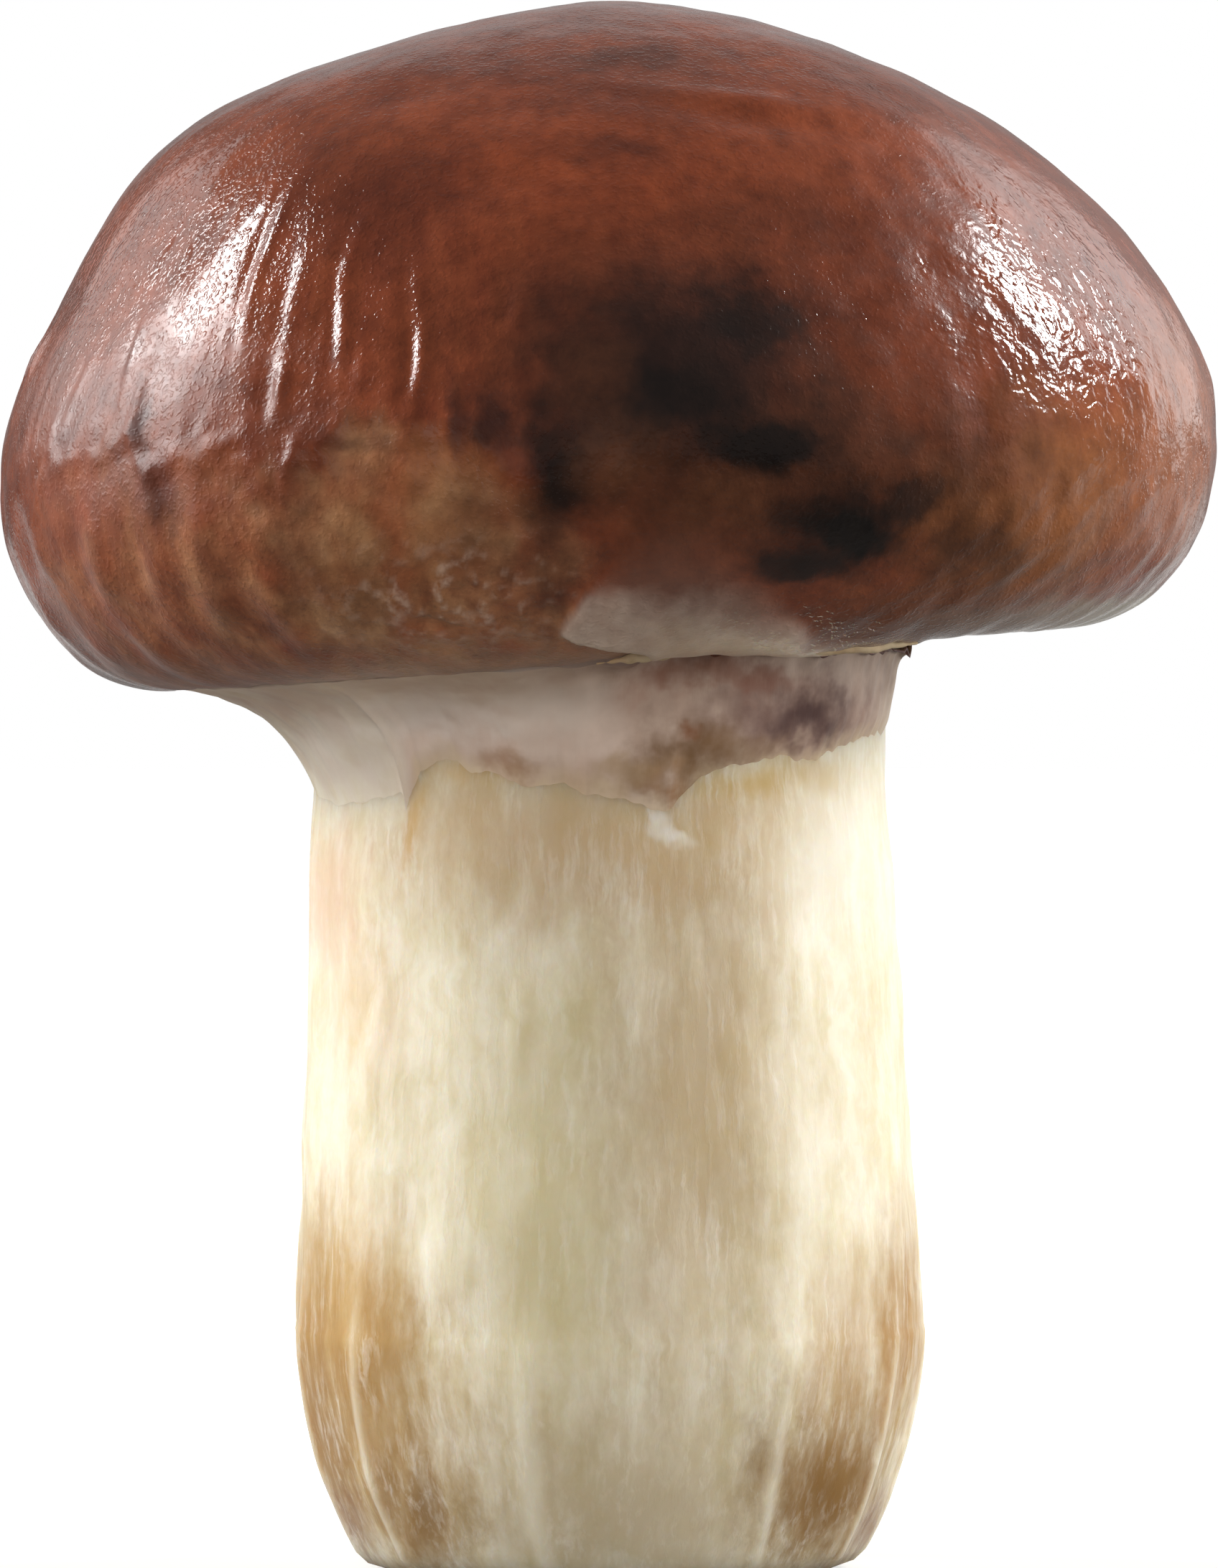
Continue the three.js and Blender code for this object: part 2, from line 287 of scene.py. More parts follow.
# %% [markdown]
# ### Edge of the slime
# On the front left and on a part of the back the slime stops halfway down, with drips, and leaves dull, tan
# skin below. Elsewhere it covers the margin. A painted mask could show that, but an edge given as a height
# for each angle also serves as a step in the relief.

# %% Lower edge of the slime
# Where the slime ends: angle in degrees and height above the widest ring.
SLIME_EDGE = np.array([
    (-180, -9), (-166, -8), (-156, 0.6), (-148, 1.6), (-139.5, 2.4), (-137, 0.6), (-133, 1.4), (-128, 1.8),
    (-120.5, 0.6), (-117.5, 1.4), (-114, 2.4), (-110, 2.7), (-106.5, 1.6), (-103.5, 2.2), (-100, 0.4),
    (-96, -1), (-90, -4), (-84, -9),
    (58, -9), (66, -2), (75, 1), (88, 0.2), (100, 2), (112, 0.5), (120, -3), (128, -9), (180, -9),
])
# Angle, top and bottom and half width of the drips that hang in that edge.
DRIPS = [
    (-139.6, 5.2, 2.0, 0.5), (-136.3, 1.9, -0.9, 0.55), (-153.6, 4.0, 2.1, 0.5), (-103.7, 4.0, 1.0, 0.6),
    (-108, 3.0, 1.4, 1.3), (-101.3, 3.6, 0.6, 0.8), (-119.5, 2.3, 0.3, 0.6), (-128.5, 2.6, 1.0, 0.9),
    (72, 2.5, 0, 0.6), (91, 1.6, -1.2, 0.7), (104, 3.2, 1.2, 0.6),
]


def drip_mask(angle, height):
    mask = np.zeros(np.broadcast(angle, height).shape)
    for middle, top, bottom, wide in DRIPS:
        along = (height - bottom) / (top - bottom)
        body = smooth(4 * along * (1 - along), 0, 0.7)
        narrowed = wide * (1.15 - 0.7 * np.clip(along, 0, 1))
        across = off_from(angle, math.radians(middle)) * CAP_RADIUS / narrowed
        mask = np.maximum(mask, hump(across) * body)
    return mask


ring_place = meridian * (1, 1, 0)
in_degrees = np.degrees(cap_angle)
slime_end = np.interp(in_degrees, SLIME_EDGE[:, 0], SLIME_EDGE[:, 1])
slime_end = slime_end + 0.5 * lumps(ring_place, 2.1, 6)[:1] + 0.35 * lumps(ring_place, 0.8, 9)[:1]
blur = 1.1 + 0.9 * lumps(ring_place, 3.5, 12)[:1] + 0.7 * hump((in_degrees + 108) / 9)
blur = blur + 2.6 * smooth(-in_degrees, 122, 146) * smooth(in_degrees, -180, -165)
patchy = 1.3 * lumps(skin_place, 1.9, 15) + 0.9 * lumps(skin_place, 0.8, 16)
slime = smooth(skin_height + patchy, slime_end - 0.3 - 2 * blur, slime_end + 0.2 + blur)
unsure = in_degrees + 16 * lumps(skin_place, 3, 13) + 9 * lumps(skin_place, 1.2, 18)
tan = smooth(unsure, -136, -116) * (1 - smooth(unsure, -112, -92)) * smooth(skin_height, -8, -5)
tan = tan * np.clip(0.55 + 0.8 * lumps(skin_place, 1.8, 14) + 0.5 * lumps(skin_place, 0.7, 19), 0, 1)
tan = tan + smooth(in_degrees, 70, 80) * (1 - smooth(in_degrees, 100, 112))
bead = hump((skin_height - slime_end - 0.35) / 0.5) * smooth(slime_end, -1, 1)
slime_step = slime * smooth(slime_end, -3, 0) * (1 - smooth(skin_height - slime_end, 1.5, 8))
drips = drip_mask(cap_angle, skin_height)
print("slime covers", round(100 * float(slime.mean())), "% of the skin")

# %% [markdown]
# ### Wrinkles
# Long ones along the margin on the right, fine crinkles low on the front left, one crease near the crown.
# The crease is a ridge along a line. The others are noises, some of them stretched the way the skin has
# shrunk, and most have a mask that says where they are.

# %% Wrinkles
streaks = lumps(meridian * (1, 1, 0.12), 1.6, 1) * (1 - smooth(skin_height, 6, 15))
dimples = lumps(skin_place, 3.2, 2)
fine = lumps(skin_place, 1.1, 3)
margin_belt = hump((skin_height + 4.2) / 2.6) * hump(off_from(cap_angle, math.radians(-36)) / 0.62)
slanted = meridian * (0.22, 0.22, 1) - (0, 0, 1) * smooth_skin[..., :1] * 0.8
margin_lines = 1 - np.abs(lumps(slanted, 1.2, 7)) * 2 + lumps(skin_place, 1.7, 20)
notches = lumps(ring_place, 1.7, 10) * hump((skin_height + LIP_DROP - 0.6) / 1.6)
flank = lumps(skin_place, 2.2, 26) * hump(off_from(cap_angle, 0) / 0.5) * hump((skin_height - 1) / 6)
crinkle_place = hump((skin_x + 6.2) / 4) * hump((skin_z - 39.9) / 1.9) * on_front
crinkles = 1 - 2 * np.abs(lumps(skin_place * (0.55, 1, 1.2), 0.95, 8))
edge_folds = hump((skin_height - slime_end - 0.9) / 0.9) * smooth(slime_end, -1, 1) * on_front
crease_line = skin_z - 60.5 + 0.17 * (skin_x - 2)
crease = (hump(crease_line / 0.3) - 0.8 * hump((crease_line + 0.75) / 0.4)) * on_front
crease = crease * hump((skin_x - 5.5) / 3.6)
print("the crinkles cover", int((crinkle_place > 0.5).sum()), "points of the skin")

# %% [markdown]
# ### Scrap of veil
# A pale piece of the torn veil sticks to the front of the margin. It is thin and wet through, so it is not
# a piece of its own but a raised part of the skin, and an attribute tells the material where to be pale.

# %% Scrap of veil on the front of the margin
# Its upper outline in the reference view, and the lower one of the tongue at its left end: across and up.
SCRAP_TOP = np.array([
    (-2.1, 38.5), (-1.6, 39.3), (-1.0, 40.0), (-0.4, 40.7), (0.5, 41.6), (1.5, 42.3), (2.6, 42.6),
    (4.2, 42.2), (5.3, 41.2), (7.2, 39.5), (8.0, 38.8), (9.5, 38.5), (12.5, 38.3), (13.2, 37.9),
])
SCRAP_BOTTOM = np.array([(-2.1, 38.7), (-1.3, 38.2), (-0.1, 37.85), (1.5, 37.5), (3, 36)])
SCRAP_HEIGHT = 0.45
ragged_top = 0.35 * lumps(skin_place, 1.8, 4) + 0.2 * lumps(skin_place, 0.7, 5)
scrap_inside = np.interp(skin_x, SCRAP_TOP[:, 0], SCRAP_TOP[:, 1], 30, 30) - skin_z
scrap_soft = 0.35 + 4.0 * smooth(skin_x, -1.0, 2.5) * (1 - 0.8 * smooth(skin_x, 5, 8))
scrap = smooth(scrap_inside + ragged_top, -0.25 * scrap_soft, scrap_soft) * on_front
scrap_above = skin_z - np.interp(skin_x, SCRAP_BOTTOM[:, 0], SCRAP_BOTTOM[:, 1])
scrap = scrap * smooth(scrap_above, -0.1, 0.3)
print("scrap covers", int((scrap > 0.5).sum()), "points of the skin")

# %% Build the cap
on_skin = smooth(skin_height, -LIP_DROP, -LIP_DROP + 1.5)
broad = 0.16 * (np.sin(0.31 * smooth_skin[..., 0] + 0.9) * np.cos(0.27 * smooth_skin[..., 1])
                + np.sin(0.36 * smooth_skin[..., 2] + 0.23 * smooth_skin[..., 0]))
# Each pattern of the skin with its height in millimetres.
skin_patterns = [
    (1, folds), (0.03, streaks), (0.1, dimples), (0.03, fine), (0.14, slime_step), (0.1, bead), (0.1, drips),
    (0.13, margin_lines * margin_belt), (0.2, crinkles * crinkle_place), (0.1, crinkles * edge_folds),
    (0.2, crease), (0.13, flank),
]
skin_relief = sum(tall * pattern for tall, pattern in skin_patterns)
relief = broad * smooth(skin_height, -LIP_DROP, 0) + 0.1 * notches
relief = relief + on_skin * (1 - 0.8 * scrap) * skin_relief + SCRAP_HEIGHT * scrap
skin_normal = outline_normals(skin_rows)
push = turned(skin_normal[:, :1], cap_angle, skin_normal[:, 1:])
skin_grid = lifted(smooth_skin + relief[..., None] * push)
skin_grid[..., 2] += lip_lift(skin_grid[..., 0], skin_height) * on_front
skin_grid[-1] = skin_grid[-1].mean(0)

recess_rows = np.array([[0, FLESH_BOTTOM], [6, FLESH_BOTTOM], [12, FLESH_BOTTOM], [15, FLESH_BOTTOM],
                        [RECESS_RADIUS, FLESH_BOTTOM], [RECESS_RADIUS - 0.15, -3.8]])
recess_grid = turned(recess_rows[:, :1], cap_angle, recess_rows[:, 1:])


def with_recess(values):
    return np.concatenate([np.zeros((len(recess_rows),) + values.shape[1:]), values])


pale_lip = (1 - smooth(skin_height + 0.5 * lumps(skin_place, 1.4, 17), -6.9, -6.1)) * hump(cap_angle / 0.6)
cap = turned_mesh(
    "cap_skin", np.concatenate([lifted(recess_grid), skin_grid]),
    slime=with_recess(slime), tan=with_recess(tan), scrap=with_recess(scrap),
    pale=with_recess(pale_lip), crinkle=with_recess(smooth(crinkles, 0.62, 0.97) * crinkle_place),
    meridian=with_recess(meridian * MM))
measured(cap)

# %% [markdown]
# ## Stem
# Thick and a little bellied. The outer skin was peeled off with a knife in strips, which left long flats
# with low ridges between them, and the foot was cut straight across. The flesh is a bundle of upright
# fibres. Cutting the flats with Boolean planes would leave hard edges, so each angle is given its place in
# a strip and the radius sinks by it, more near the foot than at the neck.

# %% Stem sizes
STEM_TOP = 42.4
BELLY_RADIUS, BELLY_HEIGHT = 13, 10
NECK_RADIUS, NECK_HEIGHT = 12, 31
STEM_LEAN = -0.35
FOOT_FLAT_RADIUS = 9.3
FOOT_EDGE_HEIGHT = 0.7
FOOT_TAPER = 2.9
PEEL_STRIPS = 11
PEEL_BITE = 0.3
STEM_COLUMNS = 640
STEM_ROWS = 130


def stem_radius(height):
    below = BELLY_RADIUS - FOOT_TAPER * (1 - height / BELLY_HEIGHT) ** 2
    above = mix(BELLY_RADIUS, NECK_RADIUS, smooth(height, BELLY_HEIGHT - 4, NECK_HEIGHT))
    return np.where(height < BELLY_HEIGHT, below, above)


def stem_lean(height):
    return STEM_LEAN * smooth(height, BELLY_HEIGHT, NECK_HEIGHT)


def peel_across(angle):
    """Where an angle lies in its strip, from -1 at one ridge to 1 at the next."""
    strip = angle / (2 * math.pi) * PEEL_STRIPS + 0.35 * np.sin(2 * angle)
    return 2 * (strip - np.floor(strip)) - 1


print("stem:", 2 * BELLY_RADIUS, "mm at the belly,", 2 * NECK_RADIUS, "mm at the neck,", STEM_TOP, "mm high")

# %% Build the stem
stem_angle = ring_angles(STEM_COLUMNS)[None, :]
stem_height = np.linspace(FOOT_EDGE_HEIGHT, STEM_TOP, STEM_ROWS)[:, None]
round_radius = stem_radius(stem_height) + 0 * stem_angle
round_stem = turned(round_radius, stem_angle, stem_height)
across = peel_across(stem_angle + 0.03 * np.sin(0.3 * stem_height))
bare = 1 - smooth(stem_height, 28, 31)
near_foot = 1 - smooth(stem_height, 5, 14)
ridge = smooth(np.abs(across), 0.84, 1) * near_foot
flats = mix(0.5 + 0.5 * np.cos(math.pi * across), 1 - across**2, near_foot)
fibres = lumps(round_stem * (1, 1, 0.28), 0.8, 21)
coarse = lumps(round_stem * (1, 1, 0.2), 3.0, 22)
dents = lumps(round_stem, 4.5, 23)
slivers = np.maximum(lumps(round_stem * (1, 1, 0.3), 1.5, 24) - 0.2, 0)
stem_push = -PEEL_BITE * flats * bare * mix(0.4, 1, near_foot) + 0.1 * ridge + 0.03 * fibres + 0.08 * coarse
stem_push = stem_push + 0.16 * dents + 0.28 * slivers * (1 - smooth(stem_height, 24, 27))
share = round_radius / BELLY_RADIUS
cut_radius = round_radius + share * stem_push - 0.3 * smooth(stem_height, 28, 33)
stem_side = turned(cut_radius, stem_angle, stem_height)
stem_side[..., 0] += stem_lean(stem_height)

foot_rows = np.array([0, 0.3, 0.6, 0.85, 1])[:, None]
foot_radius = FOOT_FLAT_RADIUS + 0.25 * lumps(round_stem[:1] * (1, 1, 0), 3.1, 25)
foot = turned(foot_rows * foot_radius, stem_angle, 0)
edge = mix(foot[-1:], stem_side[:1], 0.62)
edge[..., 2] *= 0.55
crown_rows = np.array([0.7, 0.35, 0])[:, None]
shrunk = crown_rows + 0 * stem_angle
stem_crown = stem_side[-1:] * np.stack([shrunk, shrunk, np.ones_like(shrunk)], -1)
stem_grid = np.concatenate([foot, edge, stem_side, stem_crown])


def stem_mark(values):
    """The values on the side, and none on the cut foot and on the hidden top."""
    return np.pad(values, ((len(foot) + 1, len(stem_crown)), (0, 0)))


stem = turned_mesh("stem_flesh", stem_grid, ridge=stem_mark(ridge))
measured(stem)

# %% [markdown]
# ## Veil
# A membrane that grew from the margin to the stem. It is still whole on the left and at the back, where it
# stretches up to the lip like a little tent. On the right it has torn off the margin and shrunk to a collar.
# Its lower edge on the stem is ragged, with a round bite at the front left. A cloth simulation would make a
# tent too, but not this one, so every angle gets a bowed line from the stem to the lip, and the line gets
# a thickness.

# %% Veil sizes
VEIL_EDGE_RADIUS = 17.7
VEIL_EDGE_HEIGHT = -7.25
TEAR_MIDDLE, TEAR_HALF_WIDTH, TEAR_BLEND = (math.radians(d) for d in (-15, 74, 34))
COLLAR_RADIUS = 12.2
COLLAR_TOP = 38.3
VEIL_MIDDLE = 14
VEIL_COLUMNS = 900
VEIL_ROWS = 44
# The ragged lower edge: angle in degrees and height on the stem.
VEIL_FOOT = np.array([
    (-180, 28.5), (-160, 27.8), (-145, 27.4), (-136, 27.4), (-132, 28.8), (-130.6, 31.6), (-128.4, 32.9),
    (-124.5, 33.5), (-120, 33.5), (-116.5, 32.9), (-112, 32.9), (-108, 32.5), (-101.6, 32.3), (-97, 32.6),
    (-92.5, 32.0), (-86.5, 31.9), (-82, 31.7), (-79, 31.4), (-76.5, 31.3), (-74, 31.9), (-71, 32.6),
    (-66, 33.1), (-54, 33.4), (-42, 33.7), (-32, 34.1), (-22, 34.3), (0, 34.1),
    (25, 33.6), (50, 32.5), (80, 31.8), (110, 31.2), (140, 29.6), (165, 29.0), (180, 28.5),
])


def veil_foot(angle):
    return np.interp(np.degrees(angle), VEIL_FOOT[:, 0], VEIL_FOOT[:, 1])


def veil_hold(angle):
    away = np.abs(off_from(angle, TEAR_MIDDLE))
    return smooth(away, TEAR_HALF_WIDTH - TEAR_BLEND / 2, TEAR_HALF_WIDTH + TEAR_BLEND / 2)


print("the veil holds on", round(100 * float(veil_hold(ring_angles(360)).mean())), "% of its ring")

# %% Lines of the veil
veil_angle = ring_angles(VEIL_COLUMNS)[None, :]
veil_ring = turned(VEIL_MIDDLE, veil_angle, 0)
hold = veil_hold(veil_angle)
torn = 1 - hold
foot_height = veil_foot(veil_angle) + 0.16 * lumps(veil_ring, 1.3, 31) + 0.14 * lumps(veil_ring, 0.45, 32)
foot_height = foot_height - 0.6 * smooth(foot_height, 30, 31.5)
edge_x = VEIL_EDGE_RADIUS * np.cos(veil_angle)
lip_height = CAP_HEIGHT + VEIL_EDGE_HEIGHT * math.cos(CAP_TILT) + edge_x * math.sin(CAP_TILT)
front_edge = smooth(np.degrees(veil_angle), -134, -129) * (1 - smooth(np.degrees(veil_angle), -30, 20))
collar_top = COLLAR_TOP + 0.5 * lumps(veil_ring, 2.2, 33) + 0.3 * lumps(veil_ring, 0.7, 34)

stem_skin = stem_radius(foot_height) - 0.3 * smooth(foot_height, 28, 33)
start_radius = stem_skin + mix(-0.8, -0.24, front_edge)
end_radius, end_height = mix(COLLAR_RADIUS, VEIL_EDGE_RADIUS, hold), mix(collar_top, lip_height, hold)
low_bend = (mix(COLLAR_RADIUS - 0.2, start_radius + 0.1, hold), mix(foot_height, end_height, 0.45))
high_bend = (mix(COLLAR_RADIUS - 0.35, start_radius + 1.3, hold), mix(foot_height, end_height, 0.92))

along = np.linspace(0, 1, VEIL_ROWS)[:, None]


def bowed(start, low, high, end):
    back = 1 - along
    return back**3 * start + 3 * back**2 * along * low + 3 * back * along**2 * high + along**3 * end


line_radius = bowed(start_radius, low_bend[0], high_bend[0], end_radius)
line_height = bowed(foot_height, low_bend[1], high_bend[1], end_height)
run_radius, run_height = np.gradient(line_radius, axis=0), np.gradient(line_height, axis=0)
run_length = np.hypot(run_radius, run_height)
out_radius, out_height = run_height / run_length, -run_radius / run_length
print("the veil reaches from", foot_height.min().round(1), "to", end_height.max().round(1), "mm up")

# %% Build the veil
veil_place = turned(line_radius, veil_angle, line_height)
wall = 0.02 + mix(0.34 * smooth(along, 0.2, 1), 0.42 * smooth(along, 0, 0.28), front_edge)
wall += 0.5 * torn * hump((along - 1) / 0.22)
pleats = np.sin(17 * veil_angle + 2 * np.sin(2 * veil_angle)) * np.sin(math.pi * along)
veil_fibres = lumps(turned(line_radius, veil_angle, 3 * along), 0.8, 35)
veil_lumps = lumps(veil_place, 2.4, 36)
ripple = smooth(along, 0, 0.25) * (0.03 * pleats * hold + 0.06 * veil_fibres + 0.12 * veil_lumps)


def veil_face(offset):
    face = turned(line_radius + out_radius * offset, veil_angle, line_height + out_height * offset)
    face[..., 0] += stem_lean(line_height) * (1 - along * hold)
    return face


veil_grid = np.concatenate([veil_face(wall + ripple), veil_face(ripple * 0.6)[::-1]])
edge_mark = np.concatenate([(line_height - foot_height) + 0 * along, np.full_like(line_height, 9)])
along_mark = np.concatenate([along + 0 * veil_angle, (along + 0 * veil_angle)[::-1]])
fade_mark = np.repeat(1 - front_edge, 2 * VEIL_ROWS, 0)
torn_mark = np.repeat(torn, 2 * VEIL_ROWS, 0)
veil_run = turned(VEIL_MIDDLE, veil_angle, 7 * along)
veil = turned_mesh(
    "veil_membrane", veil_grid, closed=True, edge=edge_mark, along=along_mark, torn=torn_mark,
    fade=fade_mark, run=np.concatenate([veil_run, veil_run[::-1]]) * MM)
measured(veil)

# %% [markdown]
# ## Fringe
# Where the veil tore off, its rim stayed behind on the lip of the cap as a pale, ragged roll. It is a bead
# that is swept along the lip and thinned out at both ends. Sweeping a circle by angle is the same as a
# bevelled curve, but leaves every point free to be roughened.

# %% Build the fringe
FRINGE_START, FRINGE_END = math.radians(-93), math.radians(-51)
FRINGE_THICKNESS = 0.2
FRINGE_COLUMNS, FRINGE_SIDES = 420, 14
fringe_angle = np.linspace(FRINGE_START, FRINGE_END, FRINGE_COLUMNS)[None, :]
section = np.linspace(0, 2 * math.pi, FRINGE_SIDES, endpoint=False)[:, None]
from_end = np.minimum(fringe_angle - FRINGE_START, FRINGE_END - fringe_angle)
fringe_line = turned(LIP_RADIUS, fringe_angle, 0)
bead_radius = FRINGE_THICKNESS * np.sqrt(smooth(from_end, 0, 0.12)) * (1 + 0.5 * lumps(fringe_line, 1.7, 41))
bead_out = bead_radius * np.cos(section)
bead_up = bead_radius * 1.25 * np.sin(section)
bead_place = np.stack([fringe_line[..., 0] + bead_out, fringe_line[..., 1] + 0 * bead_out, bead_up], -1)
rough_edge = 0.12 * lumps(bead_place, 0.45, 42)
fringe_radius = LIP_RADIUS + 0.45 + bead_out + rough_edge * np.cos(section)
fringe_height = -LIP_DROP - 0.1 + bead_up + rough_edge * np.sin(section) - 0.06 * lumps(fringe_line, 2.6, 43)
fringe_height = fringe_height + lip_lift(fringe_radius * np.cos(fringe_angle), -LIP_DROP)
fringe_grid = lifted(turned(fringe_radius, fringe_angle, fringe_height))
fringe = turned_mesh("veil_fringe", fringe_grid, closed=True, around=False)
measured(fringe)

# %% [markdown]
# ## Node trees
# Materials and repeated details are both node trees. They could be wired in the node editor, but a script
# can be read and run again. So there is a helper that adds a node and fills its inputs, one that starts
# a tree with named inputs, and one that turns a geometry tree into a plain mesh.

# %% Node helper
NUMBER, VECTOR, COUNT = "NodeSocketFloat", "NodeSocketVector", "NodeSocketInt"


def add(tree, kind, inputs=(), **settings):
    """A node with its settings, and its inputs set to values or linked to sockets."""
    node = tree.nodes.new(kind)
    for name, value in settings.items():
        setattr(node, name, value)
    for key, value in dict(inputs).items():
        if isinstance(value, bpy.types.NodeSocket):
            tree.links.new(value, node.inputs[key])
        else:
            node.inputs[key].default_value = value
    return node


def vector_maths(tree, operation, inputs):
    return add(tree, "ShaderNodeVectorMath", inputs, operation=operation).outputs


def new_tree(name, kind, takes, gives):
    """A node group with named inputs {name: (socket type, default)} and outputs {name: socket type}."""
    tree = bpy.data.node_groups.new(name, kind)
    for label, (socket, default) in takes.items():
        made = tree.interface.new_socket(label, in_out="INPUT", socket_type=socket)
        if default is not None:
            made.default_value = default
    for label, socket in gives.items():
        tree.interface.new_socket(label, in_out="OUTPUT", socket_type=socket)
    return tree, tree.nodes.new("NodeGroupInput").outputs, tree.nodes.new("NodeGroupOutput").inputs


def grown(name, tree, values):
    """A plain mesh piece from a geometry tree with these input values."""
    holder = bpy.data.objects.new(name + "_holder", bpy.data.meshes.new(name + "_seed"))
    bpy.context.scene.collection.objects.link(holder)
    modifier = holder.modifiers.new("grow", "NODES")
    modifier.node_group = tree
    for item in tree.interface.items_tree:
        if item.item_type == "SOCKET" and item.in_out == "INPUT" and item.name in values:
            modifier[item.identifier] = values[item.name]
    ready = holder.evaluated_get(bpy.context.evaluated_depsgraph_get())
    mesh = bpy.data.meshes.new_from_object(ready)
    mesh.name = name
    bpy.data.objects.remove(holder)
    return finished(name, mesh)


print("node groups so far:", len(bpy.data.node_groups))

# %% [markdown]
# ## Materials: shared effects
# The same effects come back on skin, veil and stem, so each is a shader group that is built once.
# "Ragged place" shakes a position so that patches lose their round shape, "stain" is a spot round a centre
# whose edge is frayed by a noise, "fibre" is a noise that is drawn out along one direction, and "crinkle"
# is wet skin that has shrunk into small cells. Painted pictures could do the same, but they would stick to
# one view and one size.

# %% Shader groups: ragged place and stain
ragged_group, takes, gives = new_tree(
    "ragged place", "ShaderNodeTree",
    {"Place": (VECTOR, None), "Grain": (NUMBER, 400.0), "Amount": (NUMBER, 0.001)}, {"Place": VECTOR})
shake = add(ragged_group, "ShaderNodeTexNoise",
            {"Vector": takes["Place"], "Scale": takes["Grain"], "Detail": 3.0, "Roughness": 0.6})
centred = vector_maths(ragged_group, "SUBTRACT", {0: shake.outputs["Color"], 1: (0.5, 0.5, 0.5)})
scaled = vector_maths(ragged_group, "SCALE", {0: centred[0], "Scale": takes["Amount"]})
moved = vector_maths(ragged_group, "ADD", {0: takes["Place"], 1: scaled[0]})
ragged_group.links.new(moved[0], gives["Place"])

stain_group, takes, gives = new_tree(
    "stain", "ShaderNodeTree",
    {"Place": (VECTOR, None), "Centre": (VECTOR, None), "Reach": (VECTOR, None), "Softness": (NUMBER, 0.3),
     "Strength": (NUMBER, 1.0), "Break": (NUMBER, 0.5), "Fray": (NUMBER, 0.8)}, {"Mask": NUMBER})
off = vector_maths(stain_group, "SUBTRACT", {0: takes["Place"], 1: takes["Centre"]})
share_of = vector_maths(stain_group, "DIVIDE", {0: off[0], 1: takes["Reach"]})
length = vector_maths(stain_group, "LENGTH", {0: share_of[0]})
broken = add(stain_group, "ShaderNodeMath", {0: takes["Break"], 1: 0.5}, operation="SUBTRACT")
frayed = add(stain_group, "ShaderNodeMath",
             {0: broken.outputs[0], 1: takes["Fray"], 2: length["Value"]}, operation="MULTIPLY_ADD")
outer = add(stain_group, "ShaderNodeMath", {0: 1.0, 1: takes["Softness"]}, operation="ADD")
inner = add(stain_group, "ShaderNodeMath", {0: 1.0, 1: takes["Softness"]}, operation="SUBTRACT")
fade = add(stain_group, "ShaderNodeMapRange",
           {"Value": frayed.outputs[0], "From Min": outer.outputs[0], "From Max": inner.outputs[0],
            "To Min": 0.0, "To Max": takes["Strength"]}, interpolation_type="SMOOTHSTEP")
stain_group.links.new(fade.outputs["Result"], gives["Mask"])
print("ragged place:", len(ragged_group.nodes), "nodes, stain:", len(stain_group.nodes), "nodes")

# %% Shader groups: fibre and crinkle
fibre_group, takes, gives = new_tree(
    "fibre", "ShaderNodeTree",
    {"Place": (VECTOR, None), "Fineness": (VECTOR, None), "Low": (NUMBER, 0.3), "High": (NUMBER, 0.7)},
    {"Value": NUMBER})
drawn = vector_maths(fibre_group, "MULTIPLY", {0: takes["Place"], 1: takes["Fineness"]})
strands = add(fibre_group, "ShaderNodeTexNoise",
              {"Vector": drawn[0], "Scale": 1.0, "Detail": 4.0, "Roughness": 0.62})
ranged = add(fibre_group, "ShaderNodeMapRange",
             {"Value": strands.outputs["Fac"], "From Min": takes["Low"], "From Max": takes["High"]})
fibre_group.links.new(ranged.outputs["Result"], gives["Value"])

crinkle_group, takes, gives = new_tree(
    "crinkle", "ShaderNodeTree",
    {"Place": (VECTOR, None), "Fineness": (VECTOR, None), "Groove": (NUMBER, 0.25)}, {"Value": NUMBER})
drawn = vector_maths(crinkle_group, "MULTIPLY", {0: takes["Place"], 1: takes["Fineness"]})
shake = add(crinkle_group, "ShaderNodeTexNoise", {"Vector": drawn[0], "Scale": 0.7, "Detail": 2.0})
bent = vector_maths(crinkle_group, "SCALE", {0: shake.outputs["Color"], "Scale": 1.1})
moved = vector_maths(crinkle_group, "ADD", {0: drawn[0], 1: bent[0]})
cells = add(crinkle_group, "ShaderNodeTexVoronoi", {"Vector": moved[0], "Scale": 1.0},
            feature="DISTANCE_TO_EDGE")
grooves = add(crinkle_group, "ShaderNodeMapRange",
              {"Value": cells.outputs["Distance"], "From Min": 0.0, "From Max": takes["Groove"]},
              interpolation_type="SMOOTHSTEP")
crinkle_group.links.new(grooves.outputs["Result"], gives["Value"])
print("shader groups:", [g.name for g in bpy.data.node_groups if g.bl_idname == "ShaderNodeTree"])

# %% [markdown]
# ## Materials: finishes
# Every finish is one Principled shader with a few layers of noise and spots in front of it. A small class
# holds the moves they share, so that each recipe below reads from the ground colour up. A spot is given by
# where it shows in the reference view, and a ray from there finds its place on the piece.

# %% Material helpers
def linear(hexcode):
    """A colour as the eye reads it on a screen, turned into the numbers that light is worked out with."""
    parts = [int(hexcode[i:i + 2], 16) / 255 for i in (0, 2, 4)]
    return [c / 12.92 if c <= 0.04045 else ((c + 0.055) / 1.055) ** 2.4 for c in parts] + [1]


def fineness(width, length):
    """How often a pattern with grains of that width and length repeats in a metre, along x, y and z."""
    return 1 / (width * MM), 1 / (width * MM), 1 / (length * MM)


